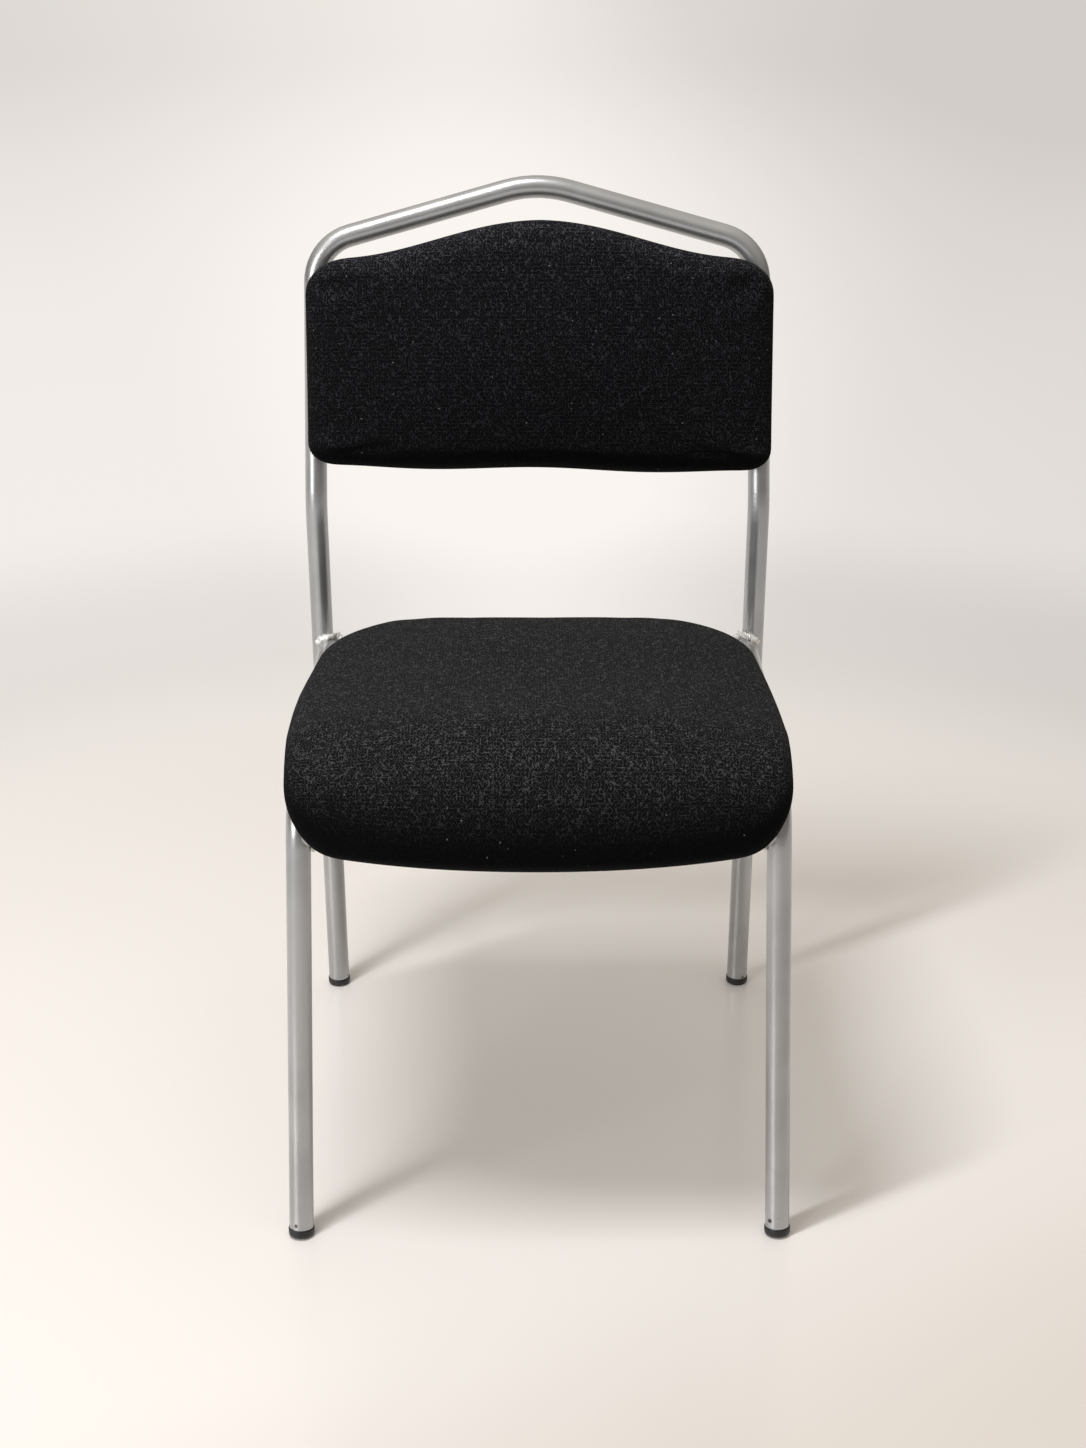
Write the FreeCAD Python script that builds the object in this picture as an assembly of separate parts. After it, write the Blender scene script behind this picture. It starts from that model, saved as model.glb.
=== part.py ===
import FreeCAD, Part
import math
import os

# Choir chair: a bent steel tube frame that carries an upholstered seat and back.
# Millimetres, +Z up, the chair faces -Y. The origin is on the floor, in the middle
# of the chair's width and depth.

# Steel tube of the frame
TUBE_D = 22.0
TUBE_WALL = 1.5
CROSS_D = 20.0

# Rear legs, uprights and top rail, one bent tube
REAR_FEET_APART = 442.0
FOOT_DEPTH = 472.0
BEND_HEIGHT = 552.0
BEND_AHEAD = 7.0
BEND_APART = 449.0
BACK_LEAN = 12.0
CORNER_HEIGHT = 805.0
CORNER_APART = 442.0
PEAK_HEIGHT = 865.0
LEAN_BEND_R = 120.0
CORNER_BEND_R = 48.0
PEAK_BEND_R = 120.0

# Front legs and side rails, one bent tube a side
FRONT_FEET_APART = 435.0
KNEE_APART = 419.0
KNEE_BACK = 64.0
KNEE_HEIGHT = 421.0
KNEE_BEND_R = 60.0
RAIL_END_APART = 433.0
RAIL_END_HEIGHT = 400.0

# Cross rails under the seat
FRONT_CROSS_HEIGHT = 375.0
REAR_CROSS_AHEAD = 53.0
REAR_CROSS_DROP = 4.0

# Weld beads
BEAD_R = 2.4
BEAD_SIDES = 6
BEAD_STEPS = 12
BEAD_GAP = 0.1

# Foot caps
CAP_D = 23.6
CAP_TALL = 8.0
CAP_TAPER = 2.6
CAP_TAPER_IN = 1.1
PLUG_LONG = 22.0
PLUG_FIT = 0.1

# Upholstery, shared by seat and back
FABRIC = 1.2
BOARD = 10.0
BOARD_IN = 8.0
PAD_CLEAR = 0.3
PAD_ROUND = 0.42
PAD_BULGE = 0.45
PAD_LINES = (4, 8)
FOAM_LINES = (2, 4)
TUCK = 2.0
BASE_SPARE = 2.0
FOAM_WRAP = 2.5
CARD = 0.8
CARD_LAP = 10.0
HEM_SIDE = 50.0
HEM_REAR = 44.0
HEM_FRONT = 20.0
HEM_CORNER = 20.0

# Seat pad
SEAT_FRONT_WIDE = 442.0
SEAT_REAR_WIDE = 438.0
SEAT_REAR_GAP = 8.0
SEAT_CORNER_ACROSS = 118.0
SEAT_CORNER_DEEP = 88.0
SEAT_THICK_MIDDLE = 38.0
SEAT_THICK_EDGE = 23.0
CROWN_AT_REAR = 0.35
LIP_THICK_MIDDLE = 46.0
LIP_THICK_EDGE = 21.0
LIP_DROP = 7.0
LIP_CORNER = 44.0
KNEE_STEPS = 6

# Share of the corner's length, and share of the full thickness there
REAR_ROLL = ((0.0, 0.55), (0.04, 0.80), (0.13, 0.94), (0.3, 1.0), (0.55, 1.0), (1.0, 1.0))
LIP_ROLL = ((1.0, 1.0), (0.6, 1.0), (0.28, 0.97), (0.08, 0.86), (0.0, 0.66))

# Back pad
BACK_WIDE = 463.0
BACK_BOTTOM = 590.0
BACK_SIDE_TOP = 792.0
BACK_PEAK = 828.0
BACK_THICK_MIDDLE = 40.0
BACK_THICK_EDGE = 24.0
BACK_CORNER = 24.0
BACK_TOP_CORNER = 40.0
CORNER_DRAW = 0.8
SIDE_LEFT = 0.5
SIDE_POWER = 12
SIDE_MARKS = (0.0, 0.08, 0.3, 0.6)
SHOULDER = 0.86
BACK_STEPS = 4

# Tabs that hold the pads
TAB_LONG = 26.0
TAB_THICK = 3.0
TAB_REACH = 24.0
SEAT_TAB_FROM_REAR = 62.0
SEAT_TAB_FROM_KNEE = 46.0
TAB_TO_CARD = 2.0
BACK_TAB_FIRST = 648.0
BACK_TAB_APART = 102.0
TAB_HOLE_D = 6.5

# Worked out from the sizes above
TUBE_R = TUBE_D / 2
CROSS_R = CROSS_D / 2
LEAN = math.radians(BACK_LEAN)
LEAN_UP = FreeCAD.Vector(0, math.sin(LEAN), math.cos(LEAN))
LEAN_FRONT = FreeCAD.Vector(0, -math.cos(LEAN), math.sin(LEAN))
ACROSS = FreeCAD.Vector(1, 0, 0)
UP = FreeCAD.Vector(0, 0, 1)
FRONT_REACH = -CAP_D / 2
BACK_REACH = (FOOT_DEPTH - BEND_AHEAD + math.tan(LEAN) * (PEAK_HEIGHT - BEND_HEIGHT)
              + TUBE_R / math.cos(LEAN))
MIDDLE = (FRONT_REACH + BACK_REACH) / 2
FAR = 1000.0


def at(x, y, z):
    """A point; y counts backwards from the front feet."""
    return FreeCAD.Vector(x, y - MIDDLE, z)


def unit(vector):
    """The same direction, one long."""
    copy = FreeCAD.Vector(vector)
    return copy.normalize()


def corner_points(before, corner, after, radius):
    """Start, middle and end of the arc that rounds a corner, and the arc's centre."""
    to_before, to_after = unit(before - corner), unit(after - corner)
    half = to_before.getAngle(to_after) / 2
    back_off = radius / math.tan(half)
    centre = corner + unit(to_before + to_after) * (radius / math.sin(half))
    middle = centre + unit(corner - centre) * radius
    return corner + to_before * back_off, middle, corner + to_after * back_off, centre


def bent_path(points, radii):
    """Straight runs joined by tangent arcs, one radius for each inner point."""
    edges, start = [], points[0]
    for index, radius in enumerate(radii, 1):
        first, middle, last, _ = corner_points(*points[index - 1:index + 2], radius)
        edges.append(Part.LineSegment(start, first).toShape())
        edges.append(Part.Arc(first, middle, last).toShape())
        start = last
    edges.append(Part.LineSegment(start, points[-1]).toShape())
    return Part.Wire(edges)


def rod(points, radii, radius):
    """A solid round bar along a bent path."""
    direction = unit(points[1] - points[0])
    ring = Part.Wire([Part.Circle(points[0], direction, radius).toShape()])
    return bent_path(points, radii).makePipeShell([ring], True, False)


def tube(points, radii, diameter):
    """A round tube along a bent path."""
    outside = rod(points, radii, diameter / 2)
    return outside.cut(rod(points, radii, diameter / 2 - TUBE_WALL))


def along(line, height):
    """The point of a two-point line at a height."""
    start, end = line
    return start + (end - start) * ((height - start.z) / (end.z - start.z))


def along_depth(line, depth):
    """The point of a two-point line at a depth behind the front feet."""
    start, end = line
    return start + (end - start) * ((depth - MIDDLE - start.y) / (end.y - start.y))


def rear_leg_line(side):
    """Axis of a rear leg from the floor to where the upright leans back."""
    return (at(side * REAR_FEET_APART / 2, FOOT_DEPTH, 0),
            at(side * BEND_APART / 2, FOOT_DEPTH - BEND_AHEAD, BEND_HEIGHT))


def leaned(x, height):
    """The point of the leaning back's middle plane at a height."""
    back = FOOT_DEPTH - BEND_AHEAD + (height - BEND_HEIGHT) * math.tan(LEAN)
    return at(x, back, height)


def upright_line(side):
    """Axis of an upright from the lean bend to the top corner."""
    return leaned(side * BEND_APART / 2, BEND_HEIGHT), leaned(side * CORNER_APART / 2, CORNER_HEIGHT)


def front_leg_line(side):
    """Axis of a front leg from the floor to the knee."""
    return at(side * FRONT_FEET_APART / 2, 0, 0), at(side * KNEE_APART / 2, KNEE_BACK, KNEE_HEIGHT)


def rail_line(side):
    """Axis of a side rail from the knee to the middle of the rear leg."""
    rear = along(rear_leg_line(side), RAIL_END_HEIGHT)
    return front_leg_line(side)[1], FreeCAD.Vector(side * RAIL_END_APART / 2, rear.y, rear.z)


def foot_start(line):
    """Where a leg's tube starts, on top of its cap's rim."""
    return line[0] + unit(line[1] - line[0]) * CAP_TALL


def back_frame_path():
    """Corner points and bend radii of the rear legs, uprights and peaked top rail."""
    left, right = rear_leg_line(-1), rear_leg_line(1)
    points = [foot_start(left), left[1], upright_line(-1)[1], leaned(0, PEAK_HEIGHT),
              upright_line(1)[1], right[1], foot_start(right)]
    return points, [LEAN_BEND_R, CORNER_BEND_R, PEAK_BEND_R, CORNER_BEND_R, LEAN_BEND_R]


def leg_path(side):
    """Corner points and bend radius of a front leg and its side rail."""
    leg, rail = front_leg_line(side), rail_line(side)
    return [foot_start(leg), leg[1], rail[1]], [KNEE_BEND_R]


def solid_line(line, radius, spare=0.0):
    """A straight round bar along a two-point line, longer by spare at both ends."""
    direction = unit(line[1] - line[0])
    start = line[0] - direction * spare
    return Part.makeCylinder(radius, (line[1] - line[0]).Length + 2 * spare, start, direction)


def leg_and_rail(side):
    """Front leg and side rail in one bent tube, coped against the rear leg."""
    bent = tube(*leg_path(side), TUBE_D)
    return bent.cut(solid_line(rear_leg_line(side), TUBE_R))


def front_cross_line():
    """Axis of the cross rail between the front legs."""
    return along(front_leg_line(-1), FRONT_CROSS_HEIGHT), along(front_leg_line(1), FRONT_CROSS_HEIGHT)


def rear_cross_line():
    """Axis of the cross rail between the side rails, ahead of the rear legs."""
    drop = FreeCAD.Vector(0, 0, -REAR_CROSS_DROP)
    depth = rail_line(1)[1].y + MIDDLE - REAR_CROSS_AHEAD
    return along_depth(rail_line(-1), depth) + drop, along_depth(rail_line(1), depth) + drop


def front_cross_rail():
    """Tube between the front legs, coped against both where they start to bend."""
    line = front_cross_line()
    whole = solid_line(line, CROSS_R).cut(solid_line(line, CROSS_R - TUBE_WALL, 1))
    for side in (-1, 1):
        whole = whole.cut(rod(*leg_path(side), TUBE_R))
    return whole


def rear_cross_rail():
    """Tube between the side rails, coped against both."""
    line = rear_cross_line()
    whole = solid_line(line, CROSS_R).cut(solid_line(line, CROSS_R - TUBE_WALL, 1))
    for side in (-1, 1):
        whole = whole.cut(solid_line(rail_line(side), TUBE_R))
    return whole


def weld_bead(branch, branch_r, host, host_r, zero_way, turns):
    """A bead round the corner where a branch tube meets a host tube.

    Its middle runs where both tubes, made thicker by the bead's radius, would meet.
    zero_way is where the turns are counted from, towards the top.
    """
    away = unit(branch[0] - branch[1])
    host_way = unit(host[1] - host[0])
    across = unit(zero_way - away * zero_way.dot(away))
    upward = unit(UP - away * UP.dot(away))
    reach = BEAD_R + BEAD_GAP
    sections = []
    for step in range(BEAD_STEPS + 1):
        turn = math.radians(turns[0] + (turns[1] - turns[0]) * step / BEAD_STEPS)
        radial = across * math.cos(turn) + upward * math.sin(turn)
        start = branch[1] + radial * (branch_r + reach)
        gap = start - host[0]
        gap = gap - host_way * gap.dot(host_way)
        move = away - host_way * away.dot(host_way)
        a, b, c = move.dot(move), gap.dot(move), gap.dot(gap) - (host_r + reach) ** 2
        middle = start + away * ((math.sqrt(max(b * b - a * c, 0)) - b) / a)
        corners = [middle + (radial * math.cos(angle) + away * math.sin(angle)) * BEAD_R
                   for angle in (math.tau * side / BEAD_SIDES for side in range(BEAD_SIDES))]
        sections.append(Part.makePolygon(corners + corners[:1]))
    return Part.makeLoft(sections, True, True)


def rail_beads():
    """Beads over and under the side rails where they meet the rear legs."""
    return [weld_bead(rail_line(side), TUBE_R, rear_leg_line(side), TUBE_R,
                      ACROSS * side, (-40, 220)) for side in (-1, 1)]


def cross_beads(line, host_line, turns):
    """Beads at both ends of a cross rail, from the front of it and round below it."""
    forward = FreeCAD.Vector(0, -1, 0)
    beads = []
    for side, branch in ((-1, line[::-1]), (1, line)):
        bead = weld_bead(branch, CROSS_R, host_line(side), TUBE_R, forward, turns)
        beads.append(bead.cut(rod(*leg_path(side), TUBE_R)))
    return beads


def foot_cap(line):
    """Plastic cap: a plug in the tube, a rim under its end and a sole flat on the floor."""
    plug_r = TUBE_R - TUBE_WALL - PLUG_FIT
    rim_r = CAP_D / 2
    sole_r = rim_r - CAP_TAPER_IN
    below, top = -2 * CAP_TALL, CAP_TALL + PLUG_LONG
    outline = [(0, below), (sole_r, below), (sole_r, 0), (rim_r, CAP_TAPER), (rim_r, CAP_TALL),
               (plug_r, CAP_TALL), (plug_r, top), (0, top), (0, below)]
    face = Part.Face(Part.makePolygon([FreeCAD.Vector(r, 0, z) for r, z in outline]))
    cap = face.revolve(FreeCAD.Vector(), UP, 360)
    cap.Placement = FreeCAD.Placement(line[0], FreeCAD.Rotation(UP, line[1] - line[0]))
    corner = line[0] - FreeCAD.Vector(FAR / 2, FAR / 2, FAR)
    return cap.cut(Part.makeBox(FAR, FAR, FAR, corner))


def rounded_face(points, radii):
    """A flat face from corner points, each corner rounded by its own radius."""
    arcs = [corner_points(points[i - 1], points[i], points[(i + 1) % len(points)], radius)
            for i, radius in enumerate(radii)]
    edges = []
    for index, (first, middle, last, _) in enumerate(arcs):
        edges.append(Part.Arc(first, middle, last).toShape())
        edges.append(Part.LineSegment(last, arcs[(index + 1) % len(arcs)][0]).toShape())
    return Part.Face(Part.Wire(edges))


def plate(outline, radii, low, thick, placement):
    """A flat plate with rounded corners, laid in a placement at a height above it."""
    face = rounded_face([FreeCAD.Vector(x, y, low) for x, y in outline], radii)
    solid = face.extrude(FreeCAD.Vector(0, 0, thick))
    solid.Placement = placement
    return solid


class SeatPath:
    """Middle line of the tube under the seat, from the side: rail, knee and top of the leg.

    Distances run from the seat's rear edge forwards, round the knee and down the lip.
    """

    def __init__(self):
        foot, knee = at(0, 0, 0), at(0, KNEE_BACK, KNEE_HEIGHT)
        end = rail_line(1)[1]
        end = FreeCAD.Vector(0, end.y, end.z)
        self.leg_top, _, self.rail_start, self.centre = corner_points(foot, knee, end, KNEE_BEND_R)
        self.rail_way, self.leg_way = unit(end - knee), unit(foot - knee)
        self.flat = (end - self.rail_start).Length - TUBE_R - SEAT_REAR_GAP
        self.rail_out = unit(self.rail_start - self.centre)
        self.leg_out = unit(self.leg_top - self.centre)
        self.knee = KNEE_BEND_R * self.rail_out.getAngle(self.leg_out)
        self.end = self.flat + self.knee + LIP_DROP

    def place(self, distance):
        """Point on the tube's middle line, and the direction out of the frame there."""
        past = distance - self.flat
        if past <= 0:
            return self.rail_start - self.rail_way * past, self.rail_out
        if past <= self.knee:
            swing = FreeCAD.Rotation(ACROSS, math.degrees(past / KNEE_BEND_R))
            out = swing.multVec(self.rail_out)
            return self.centre + out * KNEE_BEND_R, out
        return self.leg_top + self.leg_way * (past - self.knee), self.leg_out

    def point(self, distance, out):
        """Point at a distance, a given way out of the tube's middle line."""
        base, way = self.place(distance)
        return base + way * out

    def edges(self, start, end, out):
        """Line, arc and line that run beside the path at one distance from it."""
        turned = min(end, self.flat + self.knee)
        marks = (start, self.flat, (self.flat + turned) / 2, turned, end)
        rear, first, middle, last, front = [self.point(mark, out) for mark in marks]
        run = [Part.LineSegment(rear, first).toShape(), Part.Arc(first, middle, last).toShape()]
        if end > turned:
            run.append(Part.LineSegment(last, front).toShape())
        return run

    def slab(self, start, end, low, high, half):
        """A sheet that follows the path between two distances out from it."""
        lower, upper = self.edges(start, end, low), self.edges(start, end, high)
        ends = [Part.LineSegment(self.point(mark, low), self.point(mark, high)).toShape()
                for mark in (start, end)]
        profile = Part.Face(Part.Wire(Part.__sortEdges__(lower + upper + ends)))
        profile.translate(ACROSS * -half)
        return profile.extrude(ACROSS * (2 * half))

    def half_width(self, distance):
        """Half the seat's width: a straight taper with rounded rear and lip corners."""
        taper = min(distance / self.flat, 1.0)
        half = (SEAT_REAR_WIDE + (SEAT_FRONT_WIDE - SEAT_REAR_WIDE) * taper) / 2
        rear = max(1 - distance / SEAT_CORNER_DEEP, 0)
        lip = max(1 - (self.end - distance) / LIP_CORNER, 0)
        half -= SEAT_CORNER_ACROSS * (1 - math.sqrt(1 - rear ** 2))
        return half - LIP_CORNER * (1 - math.sqrt(1 - lip ** 2))

    def thickness(self, distance):
        """Thickness of the pad over its middle and at its sides."""
        lip = min(max((distance - self.flat) / self.knee, 0), 1)
        middle = SEAT_THICK_MIDDLE + (LIP_THICK_MIDDLE - SEAT_THICK_MIDDLE) * lip
        edge = SEAT_THICK_EDGE + (LIP_THICK_EDGE - SEAT_THICK_EDGE) * lip
        rise = math.sqrt(1 - max(1 - distance / SEAT_CORNER_DEEP, 0) ** 2)
        return edge + (middle - edge) * (CROWN_AT_REAR + (1 - CROWN_AT_REAR) * rise), edge


def pad_section(ends, edge, middle, base, lines, point):
    """A pad's closed section in short lines: rounded side, crown, rounded side, flat base.

    point(across, rise) gives the place of a spot across the section and above the base.
    """
    low, high = ends
    corner, bulge = edge * PAD_ROUND, base + (edge - base) * PAD_BULGE
    spots = [(high - TUCK, base), (high, bulge), (high - corner, edge), ((low + high) / 2, middle),
             (low + corner, edge), (low, bulge), (low + TUCK, base)]
    spots = [point(across, rise) for across, rise in spots]
    outline = []
    for first, count in ((0, lines[0]), (2, lines[1]), (4, lines[0])):
        arc = Part.Arc(*spots[first:first + 3]).toShape()
        outline += arc.discretize(count + 1)[:-1]
    outline.append(spots[6])
    return Part.makePolygon(outline + outline[:1])


def seat_form(path, inset, base, lines):
    """The seat pad's form: crown, rounded sides and a lip that rolls over the knees.

    inset draws it in all round, for the foam inside the cover.
    """
    stations = [(SEAT_CORNER_DEEP * mark, share) for mark, share in REAR_ROLL]
    stations.append((path.flat, 1.0))
    stations += [(path.flat + path.knee * turn / KNEE_STEPS, 1.0) for turn in (1, 2, 3)]
    stations += [(path.end - LIP_CORNER * mark, share) for mark, share in LIP_ROLL]
    shares = {min(max(distance, inset), path.end - inset): share for distance, share in stations}
    sections = []
    for distance, share in shares.items():
        start, out = path.place(distance)
        middle, edge = [thick * share - inset for thick in path.thickness(distance)]
        half = path.half_width(distance) - inset

        def point(across, rise):
            return start + ACROSS * across + out * (TUBE_R + PAD_CLEAR + rise)

        sections.append(pad_section((-half, half), edge, middle, base, lines, point))
    return Part.makeLoft(sections, True, True)


def seat_board(path):
    """Moulded plywood: flat over the rails, turned down in front of the knees."""
    low = TUBE_R + PAD_CLEAR + FABRIC
    half = SEAT_FRONT_WIDE / 2
    bent = path.slab(BOARD_IN, path.end - BOARD_IN, low, low + BOARD, half)
    rear = path.point(BOARD_IN, low).y
    front = path.point(path.end, 4 * low).y
    bend = path.place(path.flat)[0].y
    rear_half, front_half = SEAT_REAR_WIDE / 2 - BOARD_IN, half - BOARD_IN
    corner = SEAT_CORNER_DEEP
    plan = [(-front_half, front), (front_half, front), (front_half, bend), (rear_half, rear),
            (-rear_half, rear), (-front_half, bend)]
    radii = [BOARD, BOARD, BOARD, corner, corner, BOARD]
    from_above = plate(plan, radii, 0, FAR, FreeCAD.Placement())
    foot = path.point(path.end - BOARD_IN, low).z
    level = FreeCAD.Placement(FreeCAD.Vector(0, FAR / 2, 0), FreeCAD.Rotation(ACROSS, 90))
    shield = [(-front_half, foot), (front_half, foot), (front_half, FAR), (-front_half, FAR)]
    from_front = plate(shield, [LIP_CORNER, LIP_CORNER, BOARD, BOARD], 0, FAR, level)
    return bent.common(from_above).common(from_front)


def seat_plane(path):
    """Placement on the seat's flat underside: z into the pad, y towards the rear edge."""
    turned = FreeCAD.Rotation(ACROSS, path.rail_way, path.rail_out, "XYZ")
    return FreeCAD.Placement(path.point(0, TUBE_R + PAD_CLEAR), turned)


def seat_underside(path, side_in, end_in, low, thick):
    """A plate on the seat's flat underside, between the tabs on both rails."""
    half = KNEE_APART / 2 - TUBE_R - TAB_REACH - side_in
    rear, front = -end_in, end_in - HEM_REAR - path.flat + HEM_FRONT
    outline = [(-half, front), (half, front), (half, rear), (-half, rear)]
    return plate(outline, [HEM_CORNER] * 4, low, thick, seat_plane(path))


def back_plane():
    """Placement on the back pad's rear side: z into the pad, y up the leaning back."""
    turned = FreeCAD.Rotation(ACROSS, LEAN_UP, LEAN_FRONT, "XYZ")
    return FreeCAD.Placement(leaned(0, BACK_BOTTOM) + LEAN_FRONT * (TUBE_R + PAD_CLEAR), turned)


def back_top(x):
    """Height of the back pad's top edge: a soft peak that levels out towards the sides."""
    level_out = BACK_WIDE / 2 - BACK_CORNER
    share = min(abs(x) / level_out, 1.0)
    return BACK_SIDE_TOP + (BACK_PEAK - BACK_SIDE_TOP) * (1 + math.cos(math.pi * share)) / 2


def corner_drop(x, radius):
    """How far the back pad's edge draws in at its rounded corners."""
    past = max(1 - (BACK_WIDE / 2 - abs(x)) / radius, 0)
    return radius * (1 - math.sqrt(1 - past ** 2)) * CORNER_DRAW


def back_form(inset, base, lines):
    """The back pad's form: crown, rounded edges and a peaked top.

    inset draws it in all round, for the foam inside the cover.
    """
    half = BACK_WIDE / 2
    shares = [step / BACK_STEPS for step in range(1 - BACK_STEPS, BACK_STEPS)]
    gaps = [BACK_TOP_CORNER * mark for mark in SIDE_MARKS]
    places = [gap - half for gap in gaps] + [share * (half - BACK_CORNER / 2) for share in shares]
    places += [half - gap for gap in reversed(gaps)]
    sections = []
    for x in dict.fromkeys(min(max(place, inset - half), half - inset) for place in places):
        round_side = math.sqrt(1 - (abs(x) / half) ** SIDE_POWER)
        thick = BACK_THICK_EDGE + (BACK_THICK_MIDDLE - BACK_THICK_EDGE) * (1 - (x / half) ** 2)
        thick *= SIDE_LEFT + (1 - SIDE_LEFT) * round_side
        ends = (BACK_BOTTOM + corner_drop(x, BACK_CORNER) + inset,
                back_top(x) - corner_drop(x, BACK_TOP_CORNER) - inset)

        def point(height, out):
            return leaned(x, height) + LEAN_FRONT * (TUBE_R + PAD_CLEAR + out)

        sections.append(pad_section(ends, thick * SHOULDER - inset, thick - inset, base, lines,
                                    point))
    return Part.makeLoft(sections, True, True)


def back_outline(side_in, end_in):
    """Corner points of a peaked plate inside the back pad's outline, on the back's plane."""
    half = BACK_WIDE / 2 - side_in
    slope = 1 / math.cos(LEAN)
    side_top = (BACK_SIDE_TOP - BACK_BOTTOM) * slope - end_in
    peak = (BACK_PEAK - BACK_BOTTOM) * slope - end_in
    return [(-half, end_in), (half, end_in), (half, side_top), (0, peak), (-half, side_top)]


def back_plate(side_in, end_in, corner, low, thick):
    """A peaked plate parallel to the leaning back."""
    radii = [corner, corner, corner, BACK_WIDE / 2, corner]
    return plate(back_outline(side_in, end_in), radii, low, thick, back_plane())


def seat_fixings(path):
    """Placements of the four seat tabs on the pad's underside, each with its side."""
    plane = seat_plane(path)
    places = []
    for side in (-1, 1):
        for distance in (SEAT_TAB_FROM_REAR, path.flat - SEAT_TAB_FROM_KNEE):
            depth = path.place(distance)[0].y + MIDDLE
            rail_x = along_depth(rail_line(side), depth).x
            spot = FreeCAD.Vector(rail_x - side * (TUBE_R + TAB_REACH / 2), -distance, 0)
            places.append((FreeCAD.Placement(plane.multVec(spot), plane.Rotation), side))
    return places


def back_fixings():
    """Placements of the four back tabs on the pad's rear side, each with its side."""
    turned = FreeCAD.Rotation(ACROSS, LEAN_UP, LEAN_FRONT, "XYZ")
    places = []
    for side in (-1, 1):
        for height in (BACK_TAB_FIRST, BACK_TAB_FIRST + BACK_TAB_APART):
            spot = along(upright_line(side), height)
            spot = spot - ACROSS * (side * (TUBE_R + TAB_REACH / 2))
            spot = spot + LEAN_FRONT * (TUBE_R + PAD_CLEAR)
            places.append((FreeCAD.Placement(spot, turned), side))
    return places


def tab(place, side, tube_path):
    """A flat drilled tab, welded to the shoulder of its tube."""
    inner, outer = TAB_REACH / 2, TAB_REACH / 2 + TUBE_R / 2
    low_x, high_x = (-inner, outer) if side > 0 else (-outer, inner)
    half = TAB_LONG / 2
    outline = [(low_x, -half), (high_x, -half), (high_x, half), (low_x, half), (low_x, -half)]
    face = Part.Face(Part.makePolygon([FreeCAD.Vector(x, y, -PAD_CLEAR) for x, y in outline]))
    hole = Part.makeCylinder(TAB_HOLE_D / 2, TUBE_D, FreeCAD.Vector(0, 0, -TUBE_R))
    flat = face.extrude(UP * -TAB_THICK).cut(hole)
    flat.Placement = place
    return flat.cut(rod(*tube_path, TUBE_R))


def seat_parts(path):
    """Board, foam, cover and dust cover of the seat."""
    board = seat_board(path)
    foam_form = seat_form(path, FABRIC + FOAM_WRAP, FABRIC + BOARD / 2, FOAM_LINES)
    outside = seat_form(path, 0, -BASE_SPARE, PAD_LINES)
    under = path.slab(-BASE_SPARE, path.end + BASE_SPARE, 0, TUBE_R + PAD_CLEAR, SEAT_FRONT_WIDE)
    window = seat_underside(path, TAB_TO_CARD + CARD_LAP, HEM_REAR, -FABRIC,
                            2 * FABRIC + BOARD / 2)
    cover = outside.cut(under).cut(foam_form).cut(board).cut(window)
    dust = seat_underside(path, TAB_TO_CARD, HEM_REAR - CARD_LAP, -CARD, CARD)
    return {"seat_board": board, "seat_foam": foam_form.cut(board),
            "seat_cover": cover, "seat_dust_cover": dust}


def back_parts():
    """Board, foam, cover and rear panel of the back."""
    board = back_plate(BOARD_IN, BOARD_IN, BACK_CORNER, FABRIC, BOARD)
    foam_form = back_form(FABRIC + FOAM_WRAP, FABRIC + BOARD / 2, FOAM_LINES)
    window = back_plate(HEM_SIDE + TUBE_R, HEM_REAR, HEM_CORNER, -FABRIC, 2 * FABRIC + BOARD / 2)
    cover = back_form(0, 0, PAD_LINES).cut(foam_form).cut(board).cut(window)
    panel = back_plate(HEM_SIDE + TUBE_R - CARD_LAP, HEM_REAR - CARD_LAP, HEM_CORNER, -CARD, CARD)
    return {"back_board": board, "back_foam": foam_form.cut(board),
            "back_cover": cover, "back_rear_panel": panel}


def chair_parts():
    """Every node of the chair by name."""
    path = SeatPath()
    parts = {
        "back_frame_tube": tube(*back_frame_path(), TUBE_D),
        "left_leg_and_rail": leg_and_rail(-1),
        "right_leg_and_rail": leg_and_rail(1),
        "front_cross_rail": front_cross_rail(),
        "rear_cross_rail": rear_cross_rail(),
        "rail_weld_beads": rail_beads(),
        "front_cross_rail_weld_beads": cross_beads(front_cross_line(), front_leg_line, (110, 300)),
        "rear_cross_rail_weld_beads": cross_beads(rear_cross_line(), rail_line, (170, 370)),
        "front_foot_caps": [foot_cap(front_leg_line(side)) for side in (-1, 1)],
        "rear_foot_caps": [foot_cap(rear_leg_line(side)) for side in (-1, 1)],
    }
    parts["seat_tabs"] = [tab(place, side, leg_path(side)) for place, side in seat_fixings(path)]
    parts["back_tabs"] = [tab(place, side, back_frame_path()) for place, side in back_fixings()]
    parts.update(seat_parts(path))
    parts.update(back_parts())
    return parts


def main():
    os.makedirs("parts", exist_ok=True)
    for name, shape in chair_parts().items():
        if isinstance(shape, list):
            shape = Part.makeCompound(shape)
        shape.exportStep(f"parts/{name}.step")


main()
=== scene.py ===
"""Choir chair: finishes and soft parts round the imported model."""
import math

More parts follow.
